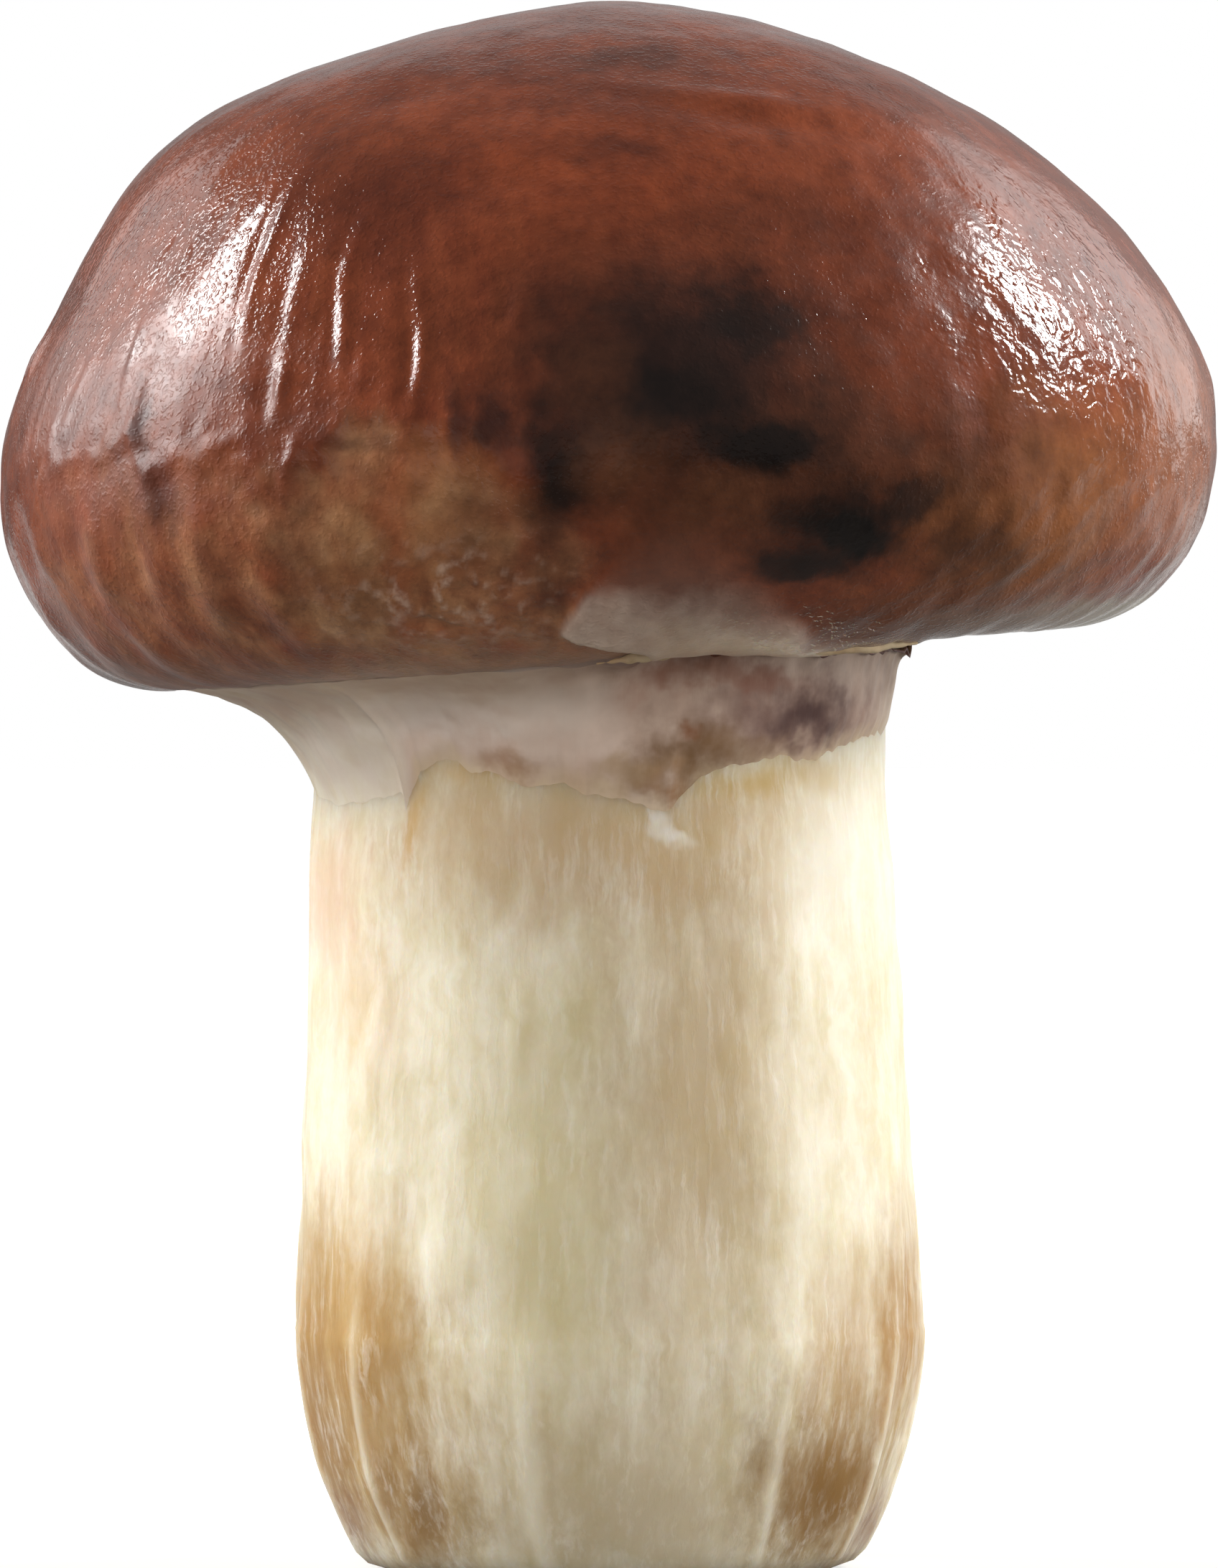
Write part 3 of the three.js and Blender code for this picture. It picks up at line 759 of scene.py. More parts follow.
class Finish:
    """A material with one Principled shader, and the few moves that all finishes here are made of."""

    def __init__(self, name, **sockets):
        self.material = bpy.data.materials.new(name)
        self.material.use_nodes = True
        self.tree = self.material.node_tree
        self.shader = self.tree.nodes["Principled BSDF"]
        for label, value in sockets.items():
            self.shader.inputs[label.replace("_", " ")].default_value = value
        self.place = self.add("ShaderNodeTexCoord").outputs["Object"]

    def add(self, kind, inputs=(), **settings):
        return add(self.tree, kind, inputs, **settings)

    def group(self, tree, inputs):
        return self.add("ShaderNodeGroup", inputs, node_tree=tree).outputs[0]

    def mark(self, name, vector=False):
        return self.add("ShaderNodeAttribute", attribute_name=name).outputs["Vector" if vector else "Fac"]

    def ragged(self, grain, amount, place=None):
        return self.group(ragged_group, {
            "Place": place or self.place, "Grain": 1 / (grain * MM), "Amount": amount * MM})

    def fibre(self, place, width, length, low=0.3, high=0.7):
        return self.group(fibre_group, {
            "Place": place, "Fineness": fineness(width, length), "Low": low, "High": high})

    def crinkle(self, place, width, length, groove):
        return self.group(crinkle_group, {
            "Place": place, "Fineness": fineness(width, length), "Groove": groove})

    def cloud(self, size, low=0.35, high=0.65, detail=3.0, roughness=0.5):
        noisy = self.add("ShaderNodeTexNoise", {
            "Vector": self.place, "Scale": 1 / (size * MM), "Detail": detail, "Roughness": roughness})
        return self.ramp(noisy.outputs["Fac"], low, high)

    def ramp(self, value, low, high, start=0.0, end=1.0):
        return self.add("ShaderNodeMapRange", {
            "Value": value, "From Min": low, "From Max": high,
            "To Min": start, "To Max": end}).outputs["Result"]

    def maths(self, operation, a, b):
        """A sum or product, held between 0 and 1."""
        return self.add("ShaderNodeMath", {0: a, 1: b}, operation=operation, use_clamp=True).outputs[0]

    def times(self, a, b):
        return self.maths("MULTIPLY", a, b)

    def plus(self, a, b):
        return self.maths("ADD", a, b)

    def shifted(self, base, value, factor):
        """The base plus the value times the factor, wherever that goes."""
        return self.add("ShaderNodeMath", {0: value, 1: factor, 2: base}, operation="MULTIPLY_ADD").outputs[0]

    def blend(self, share, a, b, mode="MIX"):
        """Colour a with colour b laid over it by that share."""
        node = self.add("ShaderNodeMix", {"Factor": share}, data_type="RGBA", blend_type=mode)
        for key, colour in ((6, a), (7, b)):
            if isinstance(colour, str):
                node.inputs[key].default_value = linear(colour)
            else:
                self.tree.links.new(colour, node.inputs[key])
        return node.outputs[2]

    def stains(self, colour, place, frayed_by, spots, fray=0.8):
        """Lays spots over a colour. Each is a colour and what front_spot takes."""
        for shade, *spot in spots:
            colour = self.blend(self.mask(place, frayed_by, front_spot(*spot), fray), colour, shade)
        return colour

    def mask(self, place, frayed_by, spot, fray=0.8):
        """Where a spot is: 0 outside it and its strength inside."""
        centre, reach, softness, strength = spot
        return self.group(stain_group, {
            "Place": place, "Centre": [c * MM for c in centre], "Reach": [r * MM for r in reach],
            "Softness": softness, "Strength": strength, "Break": frayed_by, "Fray": fray})

    def bump(self, height, distance, strength, normal=None):
        inputs = {"Height": height, "Distance": distance * MM, "Strength": strength}
        if normal:
            inputs["Normal"] = normal
        return self.add("ShaderNodeBump", inputs).outputs["Normal"]

    def into(self, **sockets):
        for label, socket in sockets.items():
            self.tree.links.new(socket, self.shader.inputs[label.replace("_", " ")])
        return self.material


print("moves of a finish:", [name for name in vars(Finish) if not name.startswith("_")])

# %% Places in the reference view
def front_point(across, up):
    """The point of the cap or stem that shows at that place in the reference view."""
    origin = Vector((across * MM, -0.1, up * MM))
    for piece in (cap, stem):
        hit, place, *_ = piece.ray_cast(origin, Vector((0, 1, 0)))
        if hit:
            return [c / MM for c in place]
    raise ValueError(f"nothing in front at {across}, {up}")


def front_spot(across, up, wide, high, softness, strength):
    """A spot at that place in the reference view, deep enough to follow the surface away from it."""
    deep = max(wide, high) * 1.4
    return front_point(across, up), (wide, deep, high), softness, strength


print("middle of the cap's front:", [round(c, 1) for c in front_point(0, 45)], "mm")

# %% [markdown]
# ## Cap skin
# Chestnut, wet and uneven: rusty on the crown, sooty in the middle of the front, tan low on the left.
# A thin dark line under the slime's edge is painted shadow, a pale spot on the right rim is painted sheen,
# and the crinkles low on the front left are painted pale as their highlight.
# The gloss comes from a low roughness, and the sparkle in it from a fine crinkle, because wet skin
# mirrors the lamps in every little wrinkle.

# %% Cap ground colours
skin = Finish("cap skin", IOR=1.7, Coat_Weight=0.08, Coat_Roughness=0.5, Sheen_Weight=0.07,
              Sheen_Roughness=0.4)
run = skin.mark("meridian", vector=True)
slime_mark, scrap_mark = skin.mark("slime"), skin.mark("scrap")
rag = skin.ragged(1.0, 1.1, skin.ragged(3.6, 2.6))
mottle = skin.cloud(1.5, 0.25, 0.75, 4.0)
depth = skin.cloud(1.2, 0.3, 0.7, 8.0, roughness=0.68)
colour = skin.blend(skin.cloud(6), "98492a", "7c391f")
colour = skin.blend(skin.times(mottle, 0.4), colour, "6a2e1c")
colour = skin.blend(skin.times(skin.fibre(run, 0.9, 6), 0.15), colour, "b5683a")
wavy = skin.ragged(2, 1.8, run)
bald = skin.blend(skin.fibre(wavy, 1.4, 3), "9a5c3a", "bb7c52")
bald = skin.blend(skin.times(skin.cloud(2.2), 0.8), bald, "964828")
bald = skin.blend(skin.mark("tan"), bald, skin.blend(skin.fibre(wavy, 1.6, 2.4), "b47e52", "d4a376"))
bald = skin.blend(skin.times(skin.fibre(wavy, 0.8, 3, 0.45, 0.75), 0.55), bald, "6a301c")
colour = skin.blend(slime_mark, bald, colour)
print("ground of the cap skin:", len(skin.tree.nodes), "nodes")

# %% Cap spots
# Colour, place across and up in the reference view, half width, half height, softness and strength.
SKIN_SPOTS = [
    ("94421f", -0.8, 57.0, 6, 2.6, 0.8, 0.5), ("642a15", -9.0, 55.6, 3.8, 2.8, 0.8, 0.8),
    ("5a2c1e", -2.0, 61.0, 4.0, 1.2, 0.9, 0.5), ("6a3018", 10.4, 51.0, 5.5, 5.0, 0.8, 0.6),
    ("9a6236", 18.6, 44.0, 4.6, 3.6, 0.8, 0.7), ("8c5c34", 13.8, 43.2, 2.6, 1.8, 0.9, 0.5),
    ("a06a40", 16.5, 41.0, 3.0, 1.6, 0.9, 0.5), ("b98a74", 17.6, 39.4, 4.6, 0.9, 0.9, 0.5),
    ("4c2b18", 14.0, 45.4, 3.4, 2.6, 0.8, 0.65), ("7c4a2a", 13.3, 39.6, 5.0, 1.5, 0.8, 0.6),
    ("a8703f", -7.3, 44.2, 2.4, 2.2, 0.6, 0.35), ("8a5a34", -9.6, 41.5, 3.5, 2.4, 0.6, 0.5),
    ("3f1c13", 0.4, 58.0, 2.2, 0.6, 0.9, 0.5), ("4a2a20", 0.9, 61.8, 2.2, 0.7, 0.6, 0.6),
    ("5a2a16", 6.5, 55.2, 3.0, 1.3, 0.7, 0.5), ("553320", 5.0, 44.2, 6.4, 3.4, 0.8, 0.75),
    # The pale spot at 23.5 across and 46 up, on the right rim, is a painted sheen.
    ("4a2a1a", 8.6, 46.0, 4.4, 3.2, 0.8, 0.65), ("b4724a", 23.5, 46.0, 2.6, 5.0, 0.8, 0.6),
    ("3f2718", -2.2, 41.2, 1.3, 2.4, 0.8, 0.5), ("3c2216", 2.8, 49.0, 6.0, 4.6, 0.8, 0.9),
    ("2c1812", 3.0, 50.0, 4.4, 2.6, 0.8, 0.85), ("2c1912", 0.6, 47.4, 3.2, 2.4, 0.8, 0.8),
    ("1f130e", 5.4, 51.0, 2.0, 1.3, 0.55, 0.8), ("1b110d", 2.6, 47.8, 2.8, 1.3, 0.55, 0.8),
    ("140c08", 6.3, 46.2, 2.2, 1.0, 0.55, 0.95), ("140c08", -2.0, 45.0, 1.2, 2.2, 0.7, 0.95),
    ("120b07", 9.4, 42.8, 2.6, 1.7, 0.7, 1.0), ("15100d", 7.2, 41.2, 1.7, 0.8, 0.55, 0.85),
    ("1c120d", 12.3, 44.0, 1.7, 0.9, 0.55, 0.75), ("3a2114", 14.6, 41.8, 2.4, 1.1, 0.8, 0.7),
    ("74452a", 0.2, 45.6, 1.6, 1.3, 0.9, 0.6), ("6a3c24", -0.6, 48.8, 1.2, 1.6, 0.9, 0.5),
    ("6e4228", 4.6, 44.0, 1.8, 0.9, 0.9, 0.5), ("6b4026", -9.6, 40.4, 2.6, 1.6, 0.9, 0.35),
    ("6e4a2c", -5.0, 42.4, 1.6, 2.0, 0.9, 0.6), ("9a4e2c", -8.6, 43.2, 0.6, 2.4, 0.9, 0.6),
    ("3a1a16", -19.0, 47.2, 0.5, 1.5, 0.7, 0.7), ("3f1d18", -18.0, 44.1, 0.9, 1.5, 0.8, 0.6),
    ("4a211a", -22.2, 46.4, 0.6, 1.0, 0.8, 0.5), ("331a18", -6.0, 47.3, 0.5, 1.4, 0.8, 0.7),
    # The thin dark spot at -10.4 across and 46.4 up is a painted shadow under the step at the slime's lower
    # edge.
    ("2e1a17", -4.7, 47.0, 0.8, 1.6, 0.8, 0.75), ("4a2418", -10.4, 46.4, 1.6, 0.4, 0.9, 0.5),
    ("5a2c1c", -12.6, 42.5, 0.7, 3.0, 0.9, 0.42), ("5a2c1c", -15.4, 40.5, 0.7, 2.4, 0.9, 0.35),
]
colour = skin.stains(colour, rag, mottle, SKIN_SPOTS, 0.45)
colour = skin.blend(0.6, colour, skin.blend(depth, "ffffff", "7c6a5e"), "MULTIPLY")
# The scrap is soaked, and so darker, from the first of these heights up to the second.
SCRAP_DRY, SCRAP_SOAKED = 37.8, 40.5
scrap_height = skin.add("ShaderNodeSeparateXYZ", {0: rag}).outputs["Z"]
pale = skin.blend(skin.cloud(1.6, 0.3, 0.7, 4.0), "c4a48f", "e2ccb9")
pale = skin.blend(skin.times(skin.fibre(wavy, 0.5, 2.5, 0.4, 0.7), 0.5), pale, "c6ad98")
pale = skin.blend(skin.ramp(scrap_height, SCRAP_DRY * MM, SCRAP_SOAKED * MM), pale, "6e4d3f")
colour = skin.blend(skin.ramp(scrap_mark, 0.0, 0.85), colour, pale)
# The crinkles low on the front left are painted pale along their ridges: a painted highlight of the lamps in
# them.
sparkle = skin.times(skin.mark("crinkle"), skin.cloud(0.5, 0.4, 0.6))
colour = skin.blend(skin.times(sparkle, 0.55), colour, "cbb09c")
colour = skin.blend(skin.mark("pale"), colour, "b9ae93")
print("cap skin:", len(SKIN_SPOTS), "spots")

# %% [markdown]
# ### Gloss
# The highlight on the right is broken up like crackled glaze, and the skin round it is calm and hazy. Where
# the slime is missing, and on the scrap of veil, the skin is dull. So masks steer the roughness, and four
# layers of bump break the light: soft lumps, a fine grain, and the cells and facets of the crackle.

# %% Cap gloss
crackled = skin.mask(rag, mottle, front_spot(18.4, 51.2, 5.0, 6.6, 0.5, 1.0))
calm = skin.mask(rag, mottle, front_spot(17.5, 53.0, 9.0, 10.0, 0.6, 1.0))
rough = skin.ramp(slime_mark, 0, 1, 0.48, 0.09)
hazy = skin.times(calm, skin.ramp(crackled, 0, 1, 0.2, 0))
rough = skin.plus(rough, hazy)
dull = skin.mask(rag, mottle, front_spot(-18.5, 46.8, 9.0, 3.8, 0.8, 0.32))
rough = skin.plus(rough, dull)
rough = skin.plus(rough, skin.ramp(scrap_mark, 0, 1, 0, 0.2))
rough = skin.shifted(rough, skin.cloud(4), 0.05)
crackle = skin.times(skin.crinkle(run, 1.05, 0.85, 0.2), crackled)
normal = skin.bump(skin.cloud(1.1, 0.2, 0.8, 2.0), 0.02, 0.5)
grain = skin.times(skin.cloud(0.22, 0.48, 0.7, 1.5), skin.ramp(calm, 0, 1, 1, 0.2))
normal = skin.bump(grain, 0.019, 0.8, normal)
normal = skin.bump(crackle, 0.016, 0.75, normal)
normal = skin.bump(skin.times(skin.cloud(0.62, 0.35, 0.65, 2.5), crackled), 0.036, 0.75, normal)
cap.data.materials.append(skin.into(Base_Color=colour, Roughness=rough, Normal=normal))
print("cap skin with its gloss:", len(skin.tree.nodes), "nodes")

# %% [markdown]
# ## Stem flesh
# Cream and fibrous, stained tan where the knife left some of the skin. A darker band down the middle, the
# darker middle of the foot and part of the tan round the veil's lower edge are painted shade, a pale patch
# high on the right is painted light, and the ridges carry a painted highlight. Light goes some way into the
# flesh and comes out beside, which subsurface scattering does and a plain colour doesn't. The strands are a
# noise that is drawn out along the stem, and they are a little glossier than what lies between them.

# %% Stem material
def flesh_colour(finish):
    """The cream of the stem and its white strands, for the stem and for the veil that grows out of it."""
    strands = finish.fibre(finish.ragged(1.8, 0.6), 0.3, 3.4, 0.48, 0.8)
    broad_strands = finish.fibre(finish.ragged(3, 2.5), 1.3, 4.0, 0.35, 0.65)
    cream = finish.blend(finish.cloud(4), "dfd2ac", "ece0c4")
    return finish.blend(finish.times(broad_strands, 0.75), cream, "f8f1de"), strands


flesh = Finish("stem flesh", IOR=1.38, Subsurface_Weight=0.6, Subsurface_Scale=0.004,
               Subsurface_Radius=(1.0, 0.7, 0.4))
rag = flesh.ragged(3.0, 2.4)
colour, strands = flesh_colour(flesh)
# The columns are those of the cap's spots.
FLESH_SPOTS = [
    # The first two spots, a darker band down the middle, are painted shade between the sides that the lamps
    # light.
    ("d3c588", -2.0, 15.0, 2.6, 8.0, 0.9, 0.45), ("bfa377", 3.6, 20.0, 3.0, 9.0, 0.9, 0.7),
    # The darker middle of the foot is painted shade; the tan band round the veil's lower edge is partly the
    # stem's own tan and partly painted shade of veil and cap.
    ("c2ad84", 0.5, 3.0, 7.5, 4.0, 0.9, 0.6), ("c6a67a", -0.5, 30.8, 8.5, 3.6, 0.8, 0.75),
    ("c9a868", 7.2, 32.6, 3.2, 0.7, 0.9, 0.7), ("d0a664", -8.0, 31.2, 0.5, 1.8, 0.8, 0.7),
    ("d6b078", -5.9, 33.2, 1.6, 0.6, 0.8, 0.7), ("f6efe2", 2.7, 30.1, 0.7, 0.25, 0.8, 0.7),
    ("f6efe2", 2.2, 30.6, 0.3, 0.6, 0.8, 0.7), ("d9a98a", -11.5, 28.0, 2.2, 2.4, 0.9, 0.5),
    ("dcb08a", -10.0, 23.5, 1.6, 2.6, 0.9, 0.3), ("c09858", -11.0, 11.0, 2.8, 3.8, 0.9, 0.85),
    ("b38a50", -8.8, 9.5, 1.2, 2.6, 0.9, 0.6), ("b59058", -9.6, 5.5, 3.4, 4.6, 0.9, 0.8),
    ("97703e", -7.6, 2.6, 1.8, 2.4, 0.9, 0.7), ("94703f", 9.2, 4.0, 2.9, 3.8, 0.9, 0.95),
    ("8a6638", 8.2, 3.2, 1.4, 2.2, 0.9, 0.6), ("a67c42", 12.2, 10.0, 1.0, 4.2, 0.9, 0.9),
    ("b99360", 9.8, 9.5, 1.8, 3.0, 0.9, 0.65), ("b08a54", -12.2, 10.2, 1.4, 3.6, 0.9, 0.75),
    # The pale spot at 9.6 across and 29 up is painted light, high on the stem's right under the cap.
    ("9c7648", -11.8, 5.2, 1.6, 3.8, 0.9, 0.75), ("fdf8ea", 9.6, 29.0, 2.4, 3.0, 0.9, 0.6),
    ("8f6a58", -10.6, 1.8, 1.6, 1.6, 0.9, 0.6), ("8a6250", 10.6, 1.6, 1.4, 1.4, 0.9, 0.6),
]
stringy = flesh.fibre(flesh.ragged(1.6, 0.9), 0.9, 3.2, 0.2, 0.8)
colour = flesh.stains(colour, rag, stringy, FLESH_SPOTS, 0.9)
patches = flesh.times(flesh.cloud(2.5, 0.35, 0.65), 0.55)
colour = flesh.blend(flesh.times(strands, patches), colour, "fffaee")
# The ridges are painted lighter: a painted highlight along their edges.
colour = flesh.blend(flesh.times(flesh.mark("ridge"), 0.4), colour, "fbf4e2")
normal = flesh.bump(strands, 0.04, 0.5)
rough = flesh.ramp(strands, 0, 1, 0.5, 0.38)
stem.data.materials.append(flesh.into(Base_Color=colour, Roughness=rough, Normal=normal))
print("stem flesh:", len(FLESH_SPOTS), "spots")

# %% [markdown]
# ## Veil membrane
# Thin and damp, pinkish grey with white threads along its pull. It browns where it was bruised and on the
# rim where it tore, and is yellowish along its lower edge. The brown just under the cap's margin is painted
# shadow, and the bruises on its right half are made darker as painted shade of the cap. On the left it has
# grown together with the stem, so its colour passes over into the stem's. Marks on the mesh tell the
# material where edge and tear are.

# %% Veil material
membrane = Finish("veil membrane", IOR=1.38, Roughness=0.42)
rag = membrane.ragged(1.6, 2.4)
threads = membrane.fibre(membrane.mark("run", vector=True), 0.9, 3.0, 0.2, 0.8)
cloudy = membrane.cloud(1.4, 0.25, 0.75, 4.0)
colour = membrane.blend(membrane.cloud(3, 0.3, 0.7), "cbab97", "dfc7b4")
colour = membrane.blend(membrane.times(threads, 0.3), colour, "eadccf")
edge, fade = membrane.mark("edge"), membrane.mark("fade")
reach = membrane.shifted(edge, membrane.cloud(1.6), -3.0)
into_stem = membrane.times(fade, membrane.ramp(reach, 1, 7, 1, 0.1))
colour = membrane.blend(into_stem, colour, flesh_colour(membrane)[0])
near_edge = membrane.ramp(membrane.shifted(edge, cloudy, -1.2), -0.5, 0.9, 0.9, 0.0)
near_edge = membrane.times(near_edge, membrane.ramp(fade, 0, 1, 1, 0))
colour = membrane.blend(near_edge, colour, "dac39e")
rolled = membrane.times(membrane.ramp(membrane.mark("along"), 0.75, 0.95), membrane.mark("torn"))
colour = membrane.blend(rolled, colour, "6a4640")
# The columns are those of the cap's spots.
MEMBRANE_SPOTS = [
    ("e4d3c3", -0.6, 35.1, 4.8, 0.6, 0.9, 0.45), ("a58672", 2.6, 35.4, 3.6, 1.5, 0.9, 0.55),
    ("d8c8ba", 9.6, 36.8, 1.6, 0.8, 0.9, 0.35), ("8a6a5c", 11.0, 36.6, 0.9, 1.4, 0.9, 0.6),
    ("efe2d6", -7.2, 35.6, 2.6, 1.2, 0.9, 0.7), ("eee2d4", -10.5, 34.0, 2.0, 2.6, 0.9, 0.6),
    # The purple bruise at 7.4 across and the brown one at 3.2 across are stains, made larger and darker as
    # painted shade of the cap on the veil's right half.
    ("7a5c54", 7.4, 35.3, 3.2, 1.5, 0.9, 0.85), ("4d3836", 7.9, 35.1, 1.6, 0.9, 0.9, 0.85),
    ("6b4a26", 3.2, 33.4, 1.8, 1.4, 0.9, 0.95), ("8a5230", 3.1, 34.5, 0.5, 0.4, 0.9, 0.8),
    ("8f6038", 2.3, 32.4, 0.6, 0.6, 0.9, 0.8), ("a98060", -4.0, 33.3, 1.0, 0.5, 0.9, 0.7),
    # The brown spots at 3.4, 0.5 and 5.6 across, just under the cap's margin, are painted shadow of the
    # margin.
    ("8e5a44", 3.4, 37.1, 2.2, 0.6, 0.9, 0.8), ("a0694e", 0.5, 36.2, 0.8, 0.7, 0.9, 0.75),
    ("9a6a58", 5.6, 36.6, 1.6, 0.4, 0.9, 0.6), ("b0906a", 0.6, 32.9, 2.2, 0.6, 0.9, 0.6),
    ("a88464", -3.4, 33.6, 0.6, 0.5, 0.9, 0.6), ("8f7052", 5.4, 33.8, 1.4, 0.6, 0.9, 0.6),
    ("e6d6c6", -3.2, 36.0, 2.6, 0.8, 0.9, 0.6),
]
colour = membrane.stains(colour, rag, cloudy, MEMBRANE_SPOTS)
normal = membrane.bump(threads, 0.06, 0.5)
veil.data.materials.append(membrane.into(Base_Color=colour, Normal=normal))
print("veil membrane:", len(MEMBRANE_SPOTS), "spots")

# %% [markdown]
# ## Fringe finish
# The roll on the lip is the same membrane, dried to a crumbly straw colour. Two noises are enough for it,
# because it is only a few tenths of a millimetre thick.

# %% Fringe material
rim = Finish("veil fringe", IOR=1.38, Roughness=0.45)
crumbs = rim.cloud(0.8, 0.3, 0.7, 4.0)
colour = rim.blend(rim.cloud(2.2), "b99a74", "d8c4a0")
colour = rim.blend(rim.times(crumbs, 0.3), colour, "b08f74")
fringe.data.materials.append(rim.into(Base_Color=colour, Normal=rim.bump(crumbs, 0.08, 0.6)))
print("fringe painted with", len(rim.tree.nodes), "nodes")

# %% [markdown]
# ## Tube layer
# Under the cap hangs a ring of packed tubes, each ending in an open pore. The ring itself is a turned bed.
# Modelling more than thirteen hundred pores by hand would be hopeless, so Geometry Nodes set them out: two
# grids of points make a honeycomb, the points outside the ring are deleted, the rest are shifted a little
# at random, and each gets a six-sided cup that is inset and pushed in from a single face.

# %% Bed of the tubes
TUBE_INNER, TUBE_OUTER = 12.6, 17.25
TUBE_TOP, TUBE_FACE = FLESH_BOTTOM - 0.3, -5.1
TUBE_CROWN = 0.5
TUBE_SHOULDER = -3.5
BED_COLUMNS, BED_ROWS = 180, 20
spongy = Finish("tubes", IOR=1.38, Roughness=0.6)
ochre = spongy.blend(spongy.cloud(3), "d9b65e", "e6cd84")
ochre = spongy.blend(spongy.cloud(0.6, 0.4, 0.7), ochre, "c99f4c")
spongy.into(Base_Color=ochre, Normal=spongy.bump(spongy.cloud(0.3), 0.05, 0.5))
bed_radius = np.linspace(TUBE_INNER, TUBE_OUTER, BED_ROWS)
bed_crown = TUBE_CROWN * np.sin(math.pi * (bed_radius - TUBE_INNER) / (TUBE_OUTER - TUBE_INNER))
bed_outline = np.concatenate([
    np.stack([bed_radius, TUBE_FACE + 0.3 - bed_crown], -1),
    [(TUBE_OUTER, TUBE_SHOULDER), (TUBE_OUTER, TUBE_TOP),
     (TUBE_INNER, TUBE_TOP), (TUBE_INNER, TUBE_SHOULDER)],
])
bed_angle = ring_angles(BED_COLUMNS)[None, :]
bed = turned_mesh("tube_bed", lifted(turned(bed_outline[:, :1], bed_angle, bed_outline[:, 1:])), closed=True)
bed.data.materials.append(spongy.material)
measured(bed)

# %% Pores: a honeycomb of points on the ring
pore_tree, takes, gives = new_tree(
    "pores", "GeometryNodeTree",
    {"Pitch": (NUMBER, 0.0006), "Inner": (NUMBER, 0.012), "Outer": (NUMBER, 0.017), "Crown": (NUMBER, 0.0005),
     "Depth": (NUMBER, 0.0005), "Shift": (NUMBER, 0.0001), "Columns": (COUNT, 61), "Rows": (COUNT, 35),
     "Lift": (VECTOR, None), "Turn": ("NodeSocketRotation", None), "Seed": (COUNT, 3),
     "Material": ("NodeSocketMaterial", None)},
    {"Geometry": "NodeSocketGeometry"})


def pore_node(kind, inputs=(), **settings):
    return add(pore_tree, kind, inputs, **settings).outputs


def pore_maths(operation, a, b=0.0):
    return pore_node("ShaderNodeMath", {0: a, 1: b}, operation=operation)[0]


wide = pore_maths("MULTIPLY", takes["Pitch"], pore_maths("SUBTRACT", takes["Columns"], 1.0))
step_up = pore_maths("MULTIPLY", takes["Pitch"], math.sqrt(3))
tall = pore_maths("MULTIPLY", step_up, pore_maths("SUBTRACT", takes["Rows"], 1.0))
grid = pore_node("GeometryNodeMeshGrid", {
    "Size X": wide, "Size Y": tall, "Vertices X": takes["Columns"], "Vertices Y": takes["Rows"]})["Mesh"]
half_step = pore_node("ShaderNodeCombineXYZ", {
    "X": pore_maths("MULTIPLY", takes["Pitch"], 0.5), "Y": pore_maths("MULTIPLY", step_up, 0.5)})[0]
shifted_grid = pore_node("GeometryNodeTransform", {"Geometry": grid, "Translation": half_step})[0]
honeycomb = add(pore_tree, "GeometryNodeJoinGeometry")
for part in (grid, shifted_grid):
    pore_tree.links.new(part, honeycomb.inputs[0])
spot = pore_node("GeometryNodeInputPosition")[0]
reach = vector_maths(pore_tree, "LENGTH", {0: spot})["Value"]
outside = pore_maths("MAXIMUM", pore_maths("LESS_THAN", reach, takes["Inner"]),
                     pore_maths("GREATER_THAN", reach, takes["Outer"]))
on_ring = pore_node("GeometryNodeDeleteGeometry", {"Geometry": honeycomb.outputs[0], "Selection": outside})[0]
across_ring = pore_maths("DIVIDE", pore_maths("SUBTRACT", reach, takes["Inner"]),
                         pore_maths("SUBTRACT", takes["Outer"], takes["Inner"]))
sag = pore_maths("MULTIPLY", pore_maths("SINE", pore_maths("MULTIPLY", across_ring, math.pi)),
                 pore_maths("MULTIPLY", takes["Crown"], -1.0))
loose = pore_node("FunctionNodeRandomValue", {0: (-1, -1, -0.5), 1: (1, 1, 0.5), "Seed": takes["Seed"]},
                  data_type="FLOAT_VECTOR")[0]
loose = vector_maths(pore_tree, "SCALE", {0: loose, "Scale": takes["Shift"]})[0]
sagged = vector_maths(pore_tree, "ADD", {0: loose, 1: pore_node("ShaderNodeCombineXYZ", {"Z": sag})[0]})[0]
placed = pore_node("GeometryNodeSetPosition", {"Geometry": on_ring, "Offset": sagged})[0]
print("points of the pores:", len(pore_tree.nodes), "nodes")

# %% Pores: one cup and its copies
CUP_SHARE, CUP_INSET = 0.577, 0.72
cup_radius = pore_maths("MULTIPLY", takes["Pitch"], CUP_SHARE)
cup_face = pore_node("GeometryNodeMeshCircle", {"Vertices": 6, "Radius": cup_radius}, fill_type="NGON")[0]
rim_face = pore_node("GeometryNodeExtrudeMesh", {"Mesh": cup_face, "Offset Scale": 0.0})
inset = pore_node("GeometryNodeScaleElements", {
    "Geometry": rim_face["Mesh"], "Selection": rim_face["Top"], "Scale": CUP_INSET})[0]
cup = pore_node("GeometryNodeExtrudeMesh", {
    "Mesh": inset, "Selection": rim_face["Top"],
    "Offset Scale": pore_maths("MULTIPLY", takes["Depth"], -1.0)})["Mesh"]
cup = pore_node("GeometryNodeTransform", {"Geometry": cup, "Rotation": (math.pi, 0, math.pi / 6)})[0]
cups = pore_node("GeometryNodeInstanceOnPoints", {"Points": placed, "Instance": cup})[0]
cups = pore_node("GeometryNodeTransform", {
    "Geometry": cups, "Translation": takes["Lift"], "Rotation": takes["Turn"]})[0]
whole = pore_node("GeometryNodeRealizeInstances", {"Geometry": cups})[0]
